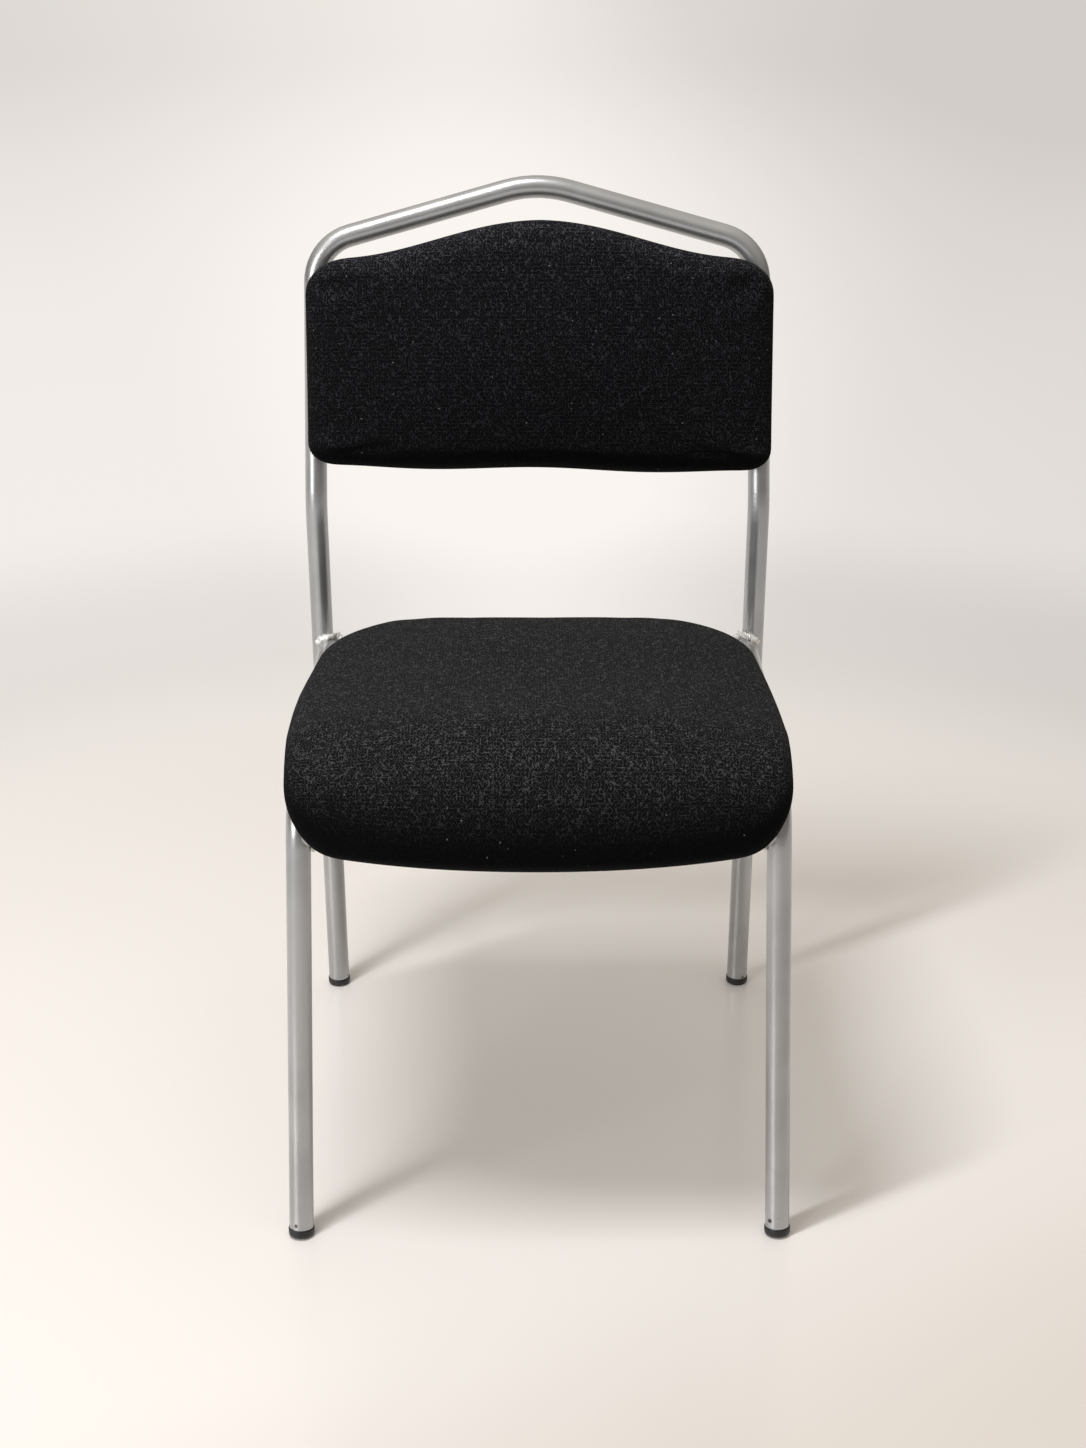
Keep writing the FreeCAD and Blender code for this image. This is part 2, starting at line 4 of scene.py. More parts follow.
import bpy
import numpy as np
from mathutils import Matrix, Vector


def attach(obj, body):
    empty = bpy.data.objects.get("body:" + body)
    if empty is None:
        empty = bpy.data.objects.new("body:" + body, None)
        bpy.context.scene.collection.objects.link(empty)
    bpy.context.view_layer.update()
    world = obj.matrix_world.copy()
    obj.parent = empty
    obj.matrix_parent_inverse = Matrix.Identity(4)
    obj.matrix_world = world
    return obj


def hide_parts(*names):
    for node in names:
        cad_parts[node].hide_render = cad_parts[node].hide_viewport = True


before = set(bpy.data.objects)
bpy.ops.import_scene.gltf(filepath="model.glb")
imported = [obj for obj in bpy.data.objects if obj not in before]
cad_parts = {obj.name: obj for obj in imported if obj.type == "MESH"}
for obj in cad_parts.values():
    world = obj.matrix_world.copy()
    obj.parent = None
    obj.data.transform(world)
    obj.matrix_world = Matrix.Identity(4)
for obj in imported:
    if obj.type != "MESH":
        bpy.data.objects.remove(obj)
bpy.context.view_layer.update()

bl_info = {
    "name": "Choir chair",
    "version": (1, 0, 0),
    "blender": (4, 5, 0),
    "location": "3D View > Sidebar > Choir chair",
    "description": "Covers, paint, welds, caps and stage of a choir chair",
    "category": "Object",
}

# Sizes of the bare chair in millimetres; y counts backwards from the front feet
MM = 0.001
MIDDLE = 265.49
TUBE_R = 11.0
CROSS_R = 10.0
REAR_FEET_APART = 442.0
FOOT_DEPTH = 472.0
BEND_HEIGHT = 552.0
BEND_AHEAD = 7.0
BEND_APART = 449.0
BACK_LEAN = math.radians(12.0)
CORNER_HEIGHT = 805.0
CORNER_APART = 442.0
FRONT_FEET_APART = 435.0
KNEE_APART = 419.0
KNEE_BACK = 64.0
KNEE_HEIGHT = 421.0
KNEE_BEND_R = 60.0
RAIL_END_APART = 433.0
RAIL_END_HEIGHT = 400.0
FRONT_CROSS_HEIGHT = 375.0
REAR_CROSS_AHEAD = 53.0
REAR_CROSS_DROP = 4.0
PAD_CLEAR = 0.3
TAB_THICK = 3.0
TAB_REACH = 24.0
SEAT_TAB_FROM_REAR = 62.0
SEAT_TAB_FROM_KNEE = 46.0
BACK_TAB_HEIGHTS = (648.0, 750.0)

# Seat pad
SEAT_FRONT_WIDE = 442.0
SEAT_REAR_WIDE = 426.0
SEAT_REAR_GAP = 8.0
SEAT_CORNER_ACROSS = 96.0
SEAT_CORNER_DEEP = 108.0
SEAT_BULGE = 5.0
SEAT_THICK = (38.0, 23.0)
LIP_THICK = (46.0, 21.0)
CROWN_AT_REAR = 0.12
CROWN_DEEP = 150.0
REAR_LIFT = 7.0
SEAT_ASKEW = 2.0
LIP_DROP = 7.0
LIP_BOW = 12.5
LIP_LIFT = 5.5
LIP_CORNER = 50.0
CROWN_POWER = 2.6
BULGE_FROM = 0.12
SEAT_CORNER_MARKS = (0.13, 0.985)
CREST_STEPS = 400

# Back pad
BACK_WIDE = 463.0
BACK_BOTTOM = 590.0
BACK_SIDE_TOP = 792.0
BACK_PEAK = 828.0
BACK_THICK = (42.0, 24.0)
BACK_MIDDLE = 705.0
BACK_REACH = 115.0
BACK_CORNER = 24.0
BACK_TOP_CORNER = 42.0
BACK_SHIFT = 2.3
HEM_TILT = 0.0155
HEM_WAVE = (1.7, 220.0)
TOP_SLOPE = 1.04
CORNER_DRAW = 0.8
TOP_ROUND = 0.55
CORNER_MARK = 0.28
CORNER_MARKS_IN = (6.0, 14.0)

# Grid of a pad: quads across, quads along, rings round the rolled edge and below it
SEAT_QUADS = (52, 60)
BACK_QUADS = (56, 32)
ROLL_RINGS = 9
SIDE_RINGS = 6
OUTLINE_STEPS = 1200

# Share of a pad's thickness at its widest line, and how square its edge rolls
WIDEST = 0.45
ROLL_POWER = 0.9

# Cloth simulation that swells the covers
AIR_PRESSURE = 4.0
AIR_FRAMES = 20

# Weld beads: how far their middle stands off the tubes, and waves of their radius as share,
# waves along the bead, turns round it and times the bead's own phase
BEAD_GRID = (72, 14)
BEAD_OFF = 0.55
BEAD_MEAN = 0.86
BEAD_RIPPLE = (0.22, 11)
BEAD_WAVES = ((0.16, 17, 2, 1), (0.14, 31, 3, 2), (0.10, 53, -1, 1))

# Each pair of beads: degrees that it runs round its branch, share of the bead size, and phase
RAIL_BEAD = ((24, 215), 1.3, 0.7)
FRONT_BEAD = ((110, 300), 0.9, 1.9)
REAR_BEAD = ((170, 370), 0.9, 2.6)

# Profiles as radii and heights: a foot cap's up the leg from the floor, and a screw's from its
# tab's outer face towards the board
CAP_RADII = (7.5, 10.2, 10.9, 11.5, 11.8, 11.8, 11.7, 11.35, 9.2, 9.2)
CAP_HEIGHTS = (-0.6, 0.0, 0.5, 1.6, 3.0, 6.6, 7.4, 7.95, 8.0, 14.0)
CAP_SIDES = 64
SCREW_RADII = (1.2, 1.5, 3.2, 4.6, 5.0, 5.0, 6.8, 6.8, 2.4, 2.4)
SCREW_HEIGHTS = (-1.7, -3.3, -3.6, -2.9, -1.9, -0.9, -0.8, 0.0, 0.0, 7.0)
SCREW_SIDES = 24

# Camera beside the middle, in metres, and turned
CAMERA_ASIDE = -0.0047
CAMERA_YAW = math.radians(-0.27)


def linear(hex_colour, alpha=True):
    """A colour written as sRGB hex, in the linear values that shaders use."""
    parts = [int(hex_colour[i:i + 2], 16) / 255 for i in (1, 3, 5)]
    values = [c / 12.92 if c <= 0.04045 else ((c + 0.055) / 1.055) ** 2.4 for c in parts]
    return tuple(values + [1.0]) if alpha else tuple(values)


def unit(vectors):
    """The same directions, each one long."""
    vectors = np.asarray(vectors, float)
    return vectors / np.linalg.norm(vectors, axis=-1, keepdims=True)


def at(x, y, z):
    """A point of the row frame in millimetres; y counts backwards from the front feet."""
    return np.array([x, y - MIDDLE, z], float)


def along(line, height):
    """The point of a two-point line at a height."""
    start, end = line
    return start + (end - start) * ((height - start[2]) / (end[2] - start[2]))


def along_depth(line, y):
    """The point of a two-point line at a row-frame y."""
    start, end = line
    return start + (end - start) * ((y - start[1]) / (end[1] - start[1]))


def leaned(x, height):
    """Points of the leaning back's middle plane."""
    x, height = np.broadcast_arrays(np.asarray(x, float), np.asarray(height, float))
    y = FOOT_DEPTH - BEND_AHEAD + (height - BEND_HEIGHT) * math.tan(BACK_LEAN) - MIDDLE
    return np.stack([x, y, height], -1)


def rear_leg_line(side):
    """Axis of a rear leg."""
    return (at(side * REAR_FEET_APART / 2, FOOT_DEPTH, 0),
            at(side * BEND_APART / 2, FOOT_DEPTH - BEND_AHEAD, BEND_HEIGHT))


def upright_line(side):
    """Axis of an upright."""
    return (leaned(side * BEND_APART / 2, BEND_HEIGHT), leaned(side * CORNER_APART / 2, CORNER_HEIGHT))


def front_leg_line(side):
    """Axis of a front leg."""
    return at(side * FRONT_FEET_APART / 2, 0, 0), at(side * KNEE_APART / 2, KNEE_BACK, KNEE_HEIGHT)


def rail_line(side):
    """Axis of a side rail."""
    rear = along(rear_leg_line(side), RAIL_END_HEIGHT)
    return front_leg_line(side)[1], np.array([side * RAIL_END_APART / 2, rear[1], rear[2]])


LEAN_FRONT = np.array([0, -math.cos(BACK_LEAN), math.sin(BACK_LEAN)])
UP = np.array([0.0, 0.0, 1.0])
ACROSS = np.array([1.0, 0.0, 0.0])
FORWARD = np.array([0.0, -1.0, 0.0])


class SeatLine:
    """Middle line of the tube under the seat: rail, knee and top of the leg, seen from the side.

    Distances run from the seat's rear edge forwards, round the knee and down the lip.
    """

    def __init__(self):
        foot, knee = at(0, 0, 0), at(0, KNEE_BACK, KNEE_HEIGHT)
        end = rail_line(1)[1] * (0, 1, 1)
        self.rail_way, self.leg_way = unit(end - knee), unit(foot - knee)
        half = math.acos(float(self.rail_way @ self.leg_way)) / 2
        self.rail_start = knee + self.rail_way * (KNEE_BEND_R / math.tan(half))
        self.leg_top = knee + self.leg_way * (KNEE_BEND_R / math.tan(half))
        self.centre = knee + unit(self.rail_way + self.leg_way) * (KNEE_BEND_R / math.sin(half))
        self.rail_out = unit(self.rail_start - self.centre)
        self.leg_out = unit(self.leg_top - self.centre)
        self.flat = np.linalg.norm(end - self.rail_start) - TUBE_R - SEAT_REAR_GAP
        self.knee = KNEE_BEND_R * (math.pi - 2 * half)
        self.end = self.flat + self.knee + LIP_DROP

    def place(self, distance):
        """Points on the line and the directions out of the frame there.

        On the rail and the leg the line is straight; on the knee it is an arc, so the
        outward direction turns from the rail's to the leg's in step with the distance.
        """
        past = np.asarray(distance, float) - self.flat
        turn = np.clip(past, 0, self.knee) / KNEE_BEND_R
        whole = self.knee / KNEE_BEND_R
        out = (np.sin(whole - turn)[..., None] * self.rail_out
               + np.sin(turn)[..., None] * self.leg_out) / math.sin(whole)
        spot = self.centre + out * KNEE_BEND_R
        spot = spot - self.rail_way * np.minimum(past, 0)[..., None]
        spot = spot + self.leg_way * np.maximum(past - self.knee, 0)[..., None]
        return spot, out

    def bulge(self, distance):
        """A share that swells from nothing near the rear to one in the middle and back."""
        return np.sin(math.pi * np.clip(distance / self.end * (1 + BULGE_FROM) - BULGE_FROM, 0, 1)) ** 2

    def half_width(self, distance):
        """Half the seat's width: a straight taper with rounded rear and lip corners."""
        taper = np.minimum(distance / self.flat, 1.0)
        half = (SEAT_REAR_WIDE + (SEAT_FRONT_WIDE - SEAT_REAR_WIDE) * taper) / 2
        rear = np.clip(1 - distance / SEAT_CORNER_DEEP, 0, 1)
        lip = np.clip(1 - (self.end - distance) / LIP_CORNER, 0, 1)
        half = half - SEAT_CORNER_ACROSS * (1 - np.sqrt(1 - rear ** 2))
        half = half + SEAT_BULGE * self.bulge(distance)
        return half - LIP_CORNER * (1 - np.sqrt(1 - lip ** 2))

    def rise(self, x, distance):
        """Thickness of the pad at a spot: least at the sides, a parabola up to the middle."""
        lip = np.clip((distance - self.flat) / self.knee, 0, 1)
        middle = SEAT_THICK[0] + (LIP_THICK[0] - SEAT_THICK[0]) * lip
        edge = SEAT_THICK[1] + (LIP_THICK[1] - SEAT_THICK[1]) * lip
        corner = np.sqrt(1 - np.clip(1 - distance / CROWN_DEEP, 0, 1) ** 2)
        crown = (middle - edge) * (CROWN_AT_REAR + (1 - CROWN_AT_REAR) * corner)
        share = np.clip(np.abs(x) / self.half_width(distance), 0, 1)
        return edge + crown * (1 - share ** CROWN_POWER) + REAR_LIFT * (1 - corner) * share ** 2


def closed_outline(axis, low, high):
    """A closed line, low curve forwards and high curve back, over one shared axis."""
    return np.concatenate([np.stack([axis, low], -1), np.stack([axis, high], -1)[::-1]])


def four_sides(outline, corners, counts):
    """An outline cut at four corners and divided evenly between them.

    counts are the divisions of the first and second side; the other two match them.
    Each point is where the length along its side is the wanted share.
    """
    starts = [int(np.argmin(np.linalg.norm(outline - corner, axis=1))) for corner in corners]
    turned = np.roll(outline, -starts[0], axis=0)
    marks = [(start - starts[0]) % len(outline) for start in starts] + [len(outline)]
    turned = np.concatenate([turned, turned[:1]])
    pieces = []
    for index in range(4):
        run = turned[marks[index]:marks[index + 1] + 1]
        length = np.concatenate([[0], np.cumsum(np.linalg.norm(np.diff(run, axis=0), axis=1))])
        wanted = np.linspace(0, length[-1], counts[index % 2] + 1)[:-1]
        pieces.append(np.stack([np.interp(wanted, length, run[:, k]) for k in (0, 1)], -1))
    return np.concatenate(pieces)


def filled(ring, counts):
    """A grid inside a closed ring of points, its four sides blended across (a Coons patch)."""
    a, b = counts
    closed = np.concatenate([ring, ring[:1]])
    first, second = closed[:a + 1], closed[a:a + b + 1]
    third, fourth = closed[a + b:2 * a + b + 1][::-1], closed[2 * a + b:][::-1]
    u, v = np.linspace(0, 1, a + 1)[:, None, None], np.linspace(0, 1, b + 1)[None, :, None]
    sides = first[:, None] * (1 - v) + third[:, None] * v + fourth[None] * (1 - u) + second[None] * u
    corners = (first[0] * (1 - u) * (1 - v) + first[-1] * u * (1 - v)
               + third[0] * (1 - u) * v + third[-1] * u * v)
    return sides - corners


def rim(grid):
    """The entries round a grid's border, in the order of the ring that it fills."""
    return np.concatenate([grid[:-1, 0], grid[-1, :-1], grid[:0:-1, -1], grid[0, :0:-1]])


def pad_grids(ring, counts, roll, tuck):
    """Plan places, height shares and cloth offsets of a pad, as top grid, rings and base grid.

    The top reaches in to where the edge starts to roll. From there rings run out and down a
    quarter of a superellipse to the widest line, then in and down a quarter ellipse to the
    flat base.
    """
    tangent = np.roll(ring, -1, axis=0) - np.roll(ring, 1, axis=0)
    outward = unit(np.stack([tangent[:, 1], -tangent[:, 0]], -1))
    turn = np.linspace(0, math.pi / 2, ROLL_RINGS + 1)[1:]
    inset = list(roll * (1 - np.sin(turn) ** ROLL_POWER))
    share = list(WIDEST + (1 - WIDEST) * np.cos(turn) ** ROLL_POWER)
    turn = np.linspace(0, math.pi / 2, SIDE_RINGS + 1)[1:]
    inset += list(tuck * (1 - np.cos(turn)))
    share += list(WIDEST * (1 - np.sin(turn)))
    rings = [ring - outward * depth for depth in inset]
    return filled(ring - outward * roll, counts), rings, np.array(share), np.array(inset), outward


def pad_object(name, ring, counts, settings, rise, place, cloth_length):
    """A pad's closed surface, swollen a little, with a UV map in metres of cloth.

    rise(plan) is the thickness, place(plan, height) the point in space, and
    cloth_length(plan) turns a plan place into lengths along the cloth. The cloth that goes
    round the edge is added in the outline's outward direction.
    """
    roll = settings.edge_roll / MM
    top, rings, shares, insets, outward = pad_grids(ring, counts, roll, settings.edge_tuck / MM)
    a, b = counts
    base = filled(rings[-1], counts)
    inner_base = base[1:-1, 1:-1].reshape(-1, 2)
    plans = [top.reshape(-1, 2)] + rings + [inner_base]
    heights = [rise(top.reshape(-1, 2))]
    edge_rise = rise(rings[ROLL_RINGS - 1])
    heights += [rise(plan) * share for plan, share in zip(rings, shares)]
    heights.append(np.zeros(len(inner_base)))
    points = np.concatenate([place(p, h) for p, h in zip(plans, heights)])

    top_ids = np.arange(top.shape[0] * top.shape[1]).reshape(top.shape[:2])
    count, start = len(ring), top_ids.size
    ring_ids = [rim(top_ids)]
    for _ in rings:
        ring_ids.append(np.arange(start, start + count))
        start += count
    base_ids = np.zeros((a + 1, b + 1), int)
    border = rim(np.arange((a + 1) * (b + 1)).reshape(a + 1, b + 1))
    base_ids.reshape(-1)[border] = ring_ids[-1]
    base_ids[1:-1, 1:-1] = np.arange(start, start + len(inner_base)).reshape(a - 1, b - 1)

    def quads(ids):
        return np.stack([ids[:-1, :-1], ids[1:, :-1], ids[1:, 1:], ids[:-1, 1:]], -1).reshape(-1, 4)

    faces = [quads(top_ids)]
    for inner, outer in zip(ring_ids[:-1], ring_ids[1:]):
        faces.append(np.stack([np.roll(inner, -1), inner, outer, np.roll(outer, -1)], -1))
    faces.append(quads(base_ids)[:, ::-1])
    faces = np.concatenate(faces)
    corners = points[faces[:, :3]]
    if np.einsum("ij,ij", corners[:, 0], np.cross(corners[:, 1], corners[:, 2])) < 0:
        faces = faces[:, ::-1]

    lengths = [cloth_length(plan) for plan in plans]
    profile = np.stack([roll - insets, -shares * edge_rise.mean()], -1)
    profile = np.concatenate([[[0, -edge_rise.mean()]], profile])
    run = np.cumsum(np.linalg.norm(np.diff(profile, axis=0), axis=1))
    for index in range(len(rings)):
        extra = run[index] - (roll - insets[index])
        lengths[index + 1] = lengths[index + 1] + outward * extra
    cloth = np.concatenate(lengths) * MM
    piece = mesh_object(name, points * MM, faces, cloth)
    fill_with_air(piece, top_ids.size + (ROLL_RINGS - 1) * count, settings.swell_limit)
    smooth_once(piece)
    return piece


def mesh_object(name, points, faces, cloth=None, smooth=True):
    """An object from arrays of points and faces, with a UV map where cloth places are given."""
    mesh = bpy.data.meshes.new(name)
    mesh.from_pydata(points.tolist(), [], [list(map(int, face)) for face in faces])
    mesh.polygons.foreach_set("use_smooth", np.full(len(mesh.polygons), smooth))
    if cloth is not None:
        corner = np.zeros(len(mesh.loops), np.int32)
        mesh.loops.foreach_get("vertex_index", corner)
        layer = mesh.uv_layers.new(name="cloth")
        layer.data.foreach_set("uv", cloth[corner].astype(np.float32).ravel())
    mesh.validate()
    mesh.update()
    new = bpy.data.objects.new(name, mesh)
    bpy.context.scene.collection.objects.link(new)
    return new


def fill_with_air(piece, first_held, cap):
    """Lets a pad's cover swell as cloth under air; each point moves by cap at most.

    Points from first_held on are stapled down: the sides below the widest line and the base.
    """
    mesh = piece.data
    rest = np.zeros(len(mesh.vertices) * 3)
    mesh.vertices.foreach_get("co", rest)
    rest = rest.reshape(-1, 3)
    held = piece.vertex_groups.new(name="held")
    held.add(list(range(first_held, len(rest))), 1.0, "REPLACE")
    cloth = piece.modifiers.new("cover", "CLOTH")
    cloth.settings.quality = 4
    cloth.settings.mass = 0.4
    cloth.settings.tension_stiffness = 25
    cloth.settings.compression_stiffness = 25
    cloth.settings.shear_stiffness = 8
    cloth.settings.bending_stiffness = 10
    cloth.settings.use_pressure = True
    cloth.settings.uniform_pressure_force = AIR_PRESSURE
    cloth.settings.effector_weights.gravity = 0
    cloth.settings.vertex_group_mass = "held"
    cloth.point_cache.frame_start, cloth.point_cache.frame_end = 1, AIR_FRAMES
    scene = bpy.context.scene
    for number in range(1, AIR_FRAMES + 1):
        scene.frame_set(number)
    solved = piece.evaluated_get(bpy.context.evaluated_depsgraph_get())
    moved = np.zeros(len(rest) * 3)
    solved.data.vertices.foreach_get("co", moved)
    step = moved.reshape(-1, 3) - rest
    length = np.linalg.norm(step, axis=1, keepdims=True)
    step = step * np.minimum(1, cap / np.maximum(length, 1e-9))
    piece.modifiers.remove(cloth)
    piece.vertex_groups.remove(held)
    scene.frame_set(1)
    mesh.vertices.foreach_set("co", (rest + step).ravel())
    mesh.update()


def smooth_once(piece):
    """One level of subdivision, the same in the view and the render."""
    surface = piece.modifiers.new("smooth", "SUBSURF")
    surface.levels = surface.render_levels = 1


def turned_surface(radii, heights, start, way, sides, floor=None):
    """A profile of radii and heights turned round an axis and closed at both ends.

    A point is the start, plus its height along the axis, plus its radius times a unit circle
    across the axis. With a floor, lower points are lifted to it.
    """
    way = unit(way)
    first = unit(np.cross(way, [0.0, 1.0, 0.0]))
    second = np.cross(way, first)
    angle = np.linspace(0, 2 * math.pi, sides, endpoint=False)
    circle = np.cos(angle)[:, None] * first + np.sin(angle)[:, None] * second
    points = (np.asarray(start) + np.asarray(heights)[:, None, None] * way
              + np.asarray(radii)[:, None, None] * circle)
    rings, count = len(radii), sides
    ids = np.arange(rings * count).reshape(rings, count)
    faces = np.stack([ids[:-1], np.roll(ids[:-1], -1, 1), np.roll(ids[1:], -1, 1), ids[1:]], -1)
    faces = faces.reshape(-1, 4).tolist() + [ids[0][::-1].tolist(), ids[-1].tolist()]
    points = points.reshape(-1, 3)
    if floor is not None:
        points[:, 2] = np.maximum(points[:, 2], floor)
    return points, faces


def joined(parts):
    """Several (points, faces) pairs as one."""
    points, faces, start = [], [], 0
    for some_points, some_faces in parts:
        points.append(some_points)
        faces += [[int(i) + start for i in face] for face in some_faces]
        start += len(some_points)
    return np.concatenate(points), faces


def bead_surface(branch, branch_r, host, host_r, zero_way, turns, radius, phase):
    """A lumpy weld bead round the corner where a branch tube meets a host tube.

    Its middle is where both tubes, made thicker by the bead's radius, would meet. The radius
    is a mean plus ripples along it and waves that also run round it, and it falls to nothing
    at both ends, ever more steeply.
    """
    steps, sides = BEAD_GRID
    away, host_way = unit(branch[0] - branch[1]), unit(host[1] - host[0])
    across = unit(zero_way - away * (zero_way @ away))
    upward = unit(UP - away * (UP @ away))
    t = np.linspace(0, 1, steps)[:, None]
    turn = np.radians(turns[0] + (turns[1] - turns[0]) * t)
    radial = across * np.cos(turn) + upward * np.sin(turn)
    start = branch[1] + radial * (branch_r + radius * BEAD_OFF)
    gap = start - host[0]
    gap = gap - (gap @ host_way)[:, None] * host_way
    move = away - host_way * (away @ host_way)
    a, b = move @ move, gap @ move
    c = (gap ** 2).sum(1) - (host_r + radius * BEAD_OFF) ** 2
    middle = start + ((np.sqrt(np.maximum(b * b - a * c, 0)) - b) / a)[:, None] * away
    angle = np.linspace(0, 2 * math.pi, sides, endpoint=False)[None, :]
    lumps = BEAD_RIPPLE[0] * np.abs(np.sin(math.pi * BEAD_RIPPLE[1] * t + phase))
    for share, along_it, round_it, shift in BEAD_WAVES:
        lumps = lumps + share * np.sin(along_it * t + round_it * angle + shift * phase)
    ends = np.sqrt(np.clip(1 - np.abs(2 * t - 1) ** 8, 0, 1))
    size = radius * (BEAD_MEAN + lumps) * ends
    ring = radial[:, None] * np.cos(angle)[..., None] + away * np.sin(angle)[..., None]
    points = middle[:, None] + ring * size[..., None]
    ids = np.arange(steps * sides).reshape(steps, sides)
    faces = np.stack([ids[:-1], ids[1:], np.roll(ids[1:], -1, 1), np.roll(ids[:-1], -1, 1)], -1)
    faces = faces.reshape(-1, 4).tolist()
    return points.reshape(-1, 3), faces


# Materials

def add_node(tree, kind, inputs=None, **settings):
    """Adds a shader node with its settings.

    inputs gives its sockets values, outputs that feed them, or nodes whose first output does.
    A Mix node's colours are its sockets 6 and 7, and its output 2.
    """
    new = tree.nodes.new("ShaderNode" + kind)
    for name, value in settings.items():
        setattr(new, name, value)
    for key, value in (inputs or {}).items():
        if isinstance(value, bpy.types.Node):
            value = value.outputs[0]
        if isinstance(value, bpy.types.NodeSocket):
            tree.links.new(value, new.inputs[key])
        else:
            new.inputs[key].default_value = value
    return new


def new_material(name):
    """An empty node material."""
    material = bpy.data.materials.new(name)
    material.use_nodes = True
    material.node_tree.nodes.clear()
    return material, material.node_tree


def opaque(colour):
    """A settings colour with its alpha of one."""
    return (*colour, 1.0)


def spots(millimetres):
    """The scale of a noise whose spots are about this wide."""
    return 0.5 / (millimetres * MM)


def cells(millimetres):
    """The scale of a cell pattern whose cells are this wide."""
    return 1 / (millimetres * MM)


def powder_coat(settings):
    """Silver-grey polyester powder coat, baked on steel tube.

    A satin film with a faint orange peel, a clear gloss on top and small chips near the floor.
    """
    material, tree = new_material("silver_grey_powder_coat")
    where = add_node(tree, "TexCoord").outputs["Object"]
    height = add_node(tree, "SeparateXYZ", {0: where}).outputs["Z"]
    clouds = add_node(tree, "TexNoise", {"Vector": where, "Scale": spots(30), "Detail": 4})
    shaded = add_node(tree, "MapRange", {"Value": clouds, "From Min": 0.35, "From Max": 0.65},
                      interpolation_type="SMOOTHSTEP")
    film = add_node(tree, "Mix", {0: shaded, 6: opaque(settings.paint_colour),
                                  7: opaque(settings.paint_shade)}, data_type="RGBA")
    # Chips of 1 to 3 mm, more of them in the lowest 60 mm where shoes and other chairs knock
    chip_cells = add_node(tree, "TexVoronoi", {"Vector": where, "Scale": cells(9)})
    chip_shape = add_node(tree, "MapRange", {"Value": chip_cells, "From Min": 0.30, "From Max": 0.18},
                          interpolation_type="SMOOTHSTEP")
    near_floor = add_node(tree, "MapRange", {"Value": height, "From Min": 0.075, "From Max": 0.012},
                          interpolation_type="SMOOTHSTEP")
    hardness = add_node(tree, "Math", {0: near_floor, 1: -0.19, 2: 0.74}, operation="MULTIPLY_ADD")
    knocks = add_node(tree, "TexNoise", {"Vector": where, "Scale": spots(12), "Detail": 3})
    knocked = add_node(tree, "Math", {0: knocks, 1: hardness}, operation="GREATER_THAN")
    chips = add_node(tree, "Math", {0: chip_shape, 1: knocked}, operation="MULTIPLY")
    colour = add_node(tree, "Mix", {0: chips, 6: film.outputs[2], 7: linear("#4A4540")},
                      data_type="RGBA")
    peel = add_node(tree, "TexNoise", {"Vector": where, "Scale": spots(1.6), "Detail": 1})
    ripples = add_node(tree, "Math", {0: peel, 1: 0.1}, operation="MULTIPLY")
    relief = add_node(tree, "Math", {0: ripples, 1: chips}, operation="SUBTRACT")
    bump = add_node(tree, "Bump", {"Height": relief, "Strength": 0.35, "Distance": 0.0006})
    haze = add_node(tree, "TexNoise", {"Vector": where, "Scale": spots(10), "Detail": 3})
    rough = add_node(tree, "Math", {0: haze, 1: 0.12, 2: 0.27}, operation="MULTIPLY_ADD")
    shader = add_node(tree, "BsdfPrincipled", {
        "Base Color": colour.outputs[2], "Metallic": 0.80, "Roughness": rough, "Normal": bump,
        "Coat Weight": 0.35, "Coat Roughness": 0.16})
    add_node(tree, "OutputMaterial", {"Surface": shader})
    return material


def weld_metal(settings):
    """Arc weld under a thin coat: bright uneven metal with dark pits of slag."""
    material, tree = new_material("painted_arc_weld")
    where = add_node(tree, "TexCoord").outputs["Object"]
    grain = add_node(tree, "TexNoise", {"Vector": where, "Scale": spots(1.8), "Detail": 4,
                                        "Roughness": 0.65})
    pits = add_node(tree, "MapRange", {"Value": grain, "From Min": 0.60, "From Max": 0.68},
                    interpolation_type="SMOOTHSTEP")
    colour = add_node(tree, "Mix", {0: pits, 6: opaque(settings.weld_colour), 7: linear("#4B4844")},
                      data_type="RGBA")
    bump = add_node(tree, "Bump", {"Height": grain, "Strength": 0.8, "Distance": 0.0012})
    shader = add_node(tree, "BsdfPrincipled", {
        "Base Color": colour.outputs[2], "Metallic": 0.35, "Roughness": 0.38, "Normal": bump,
        "Coat Weight": 0.2, "Coat Roughness": 0.2})
    add_node(tree, "OutputMaterial", {"Surface": shader})
    return material


def cap_plastic(settings):
    """Soft black polyethylene, injection moulded: a dull skin that scuffs grey at the sole."""
    material, tree = new_material("black_moulded_polyethylene")
    where = add_node(tree, "TexCoord").outputs["Object"]
    height = add_node(tree, "SeparateXYZ", {0: where}).outputs["Z"]
    scratches = add_node(tree, "TexNoise", {"Vector": where, "Scale": spots(1.5), "Detail": 4,
                                            "Roughness": 0.7})
    scratched = add_node(tree, "MapRange", {"Value": scratches, "From Min": 0.50, "From Max": 0.72},
                         interpolation_type="SMOOTHSTEP")
    sole = add_node(tree, "MapRange", {"Value": height, "From Min": 0.006, "From Max": 0.001},
                    interpolation_type="SMOOTHSTEP")
    scuff = add_node(tree, "Math", {0: scratched, 1: sole}, operation="MULTIPLY")
    colour = add_node(tree, "Mix", {0: scuff, 6: opaque(settings.cap_colour), 7: linear("#5C5A57")},
                      data_type="RGBA")
    skin = add_node(tree, "TexNoise", {"Vector": where, "Scale": spots(0.9), "Detail": 3})
    bump = add_node(tree, "Bump", {"Height": skin, "Strength": 0.25, "Distance": 0.0003})
    shader = add_node(tree, "BsdfPrincipled", {
        "Base Color": colour.outputs[2], "Roughness": 0.46, "Normal": bump})
    add_node(tree, "OutputMaterial", {"Surface": shader})
    return material


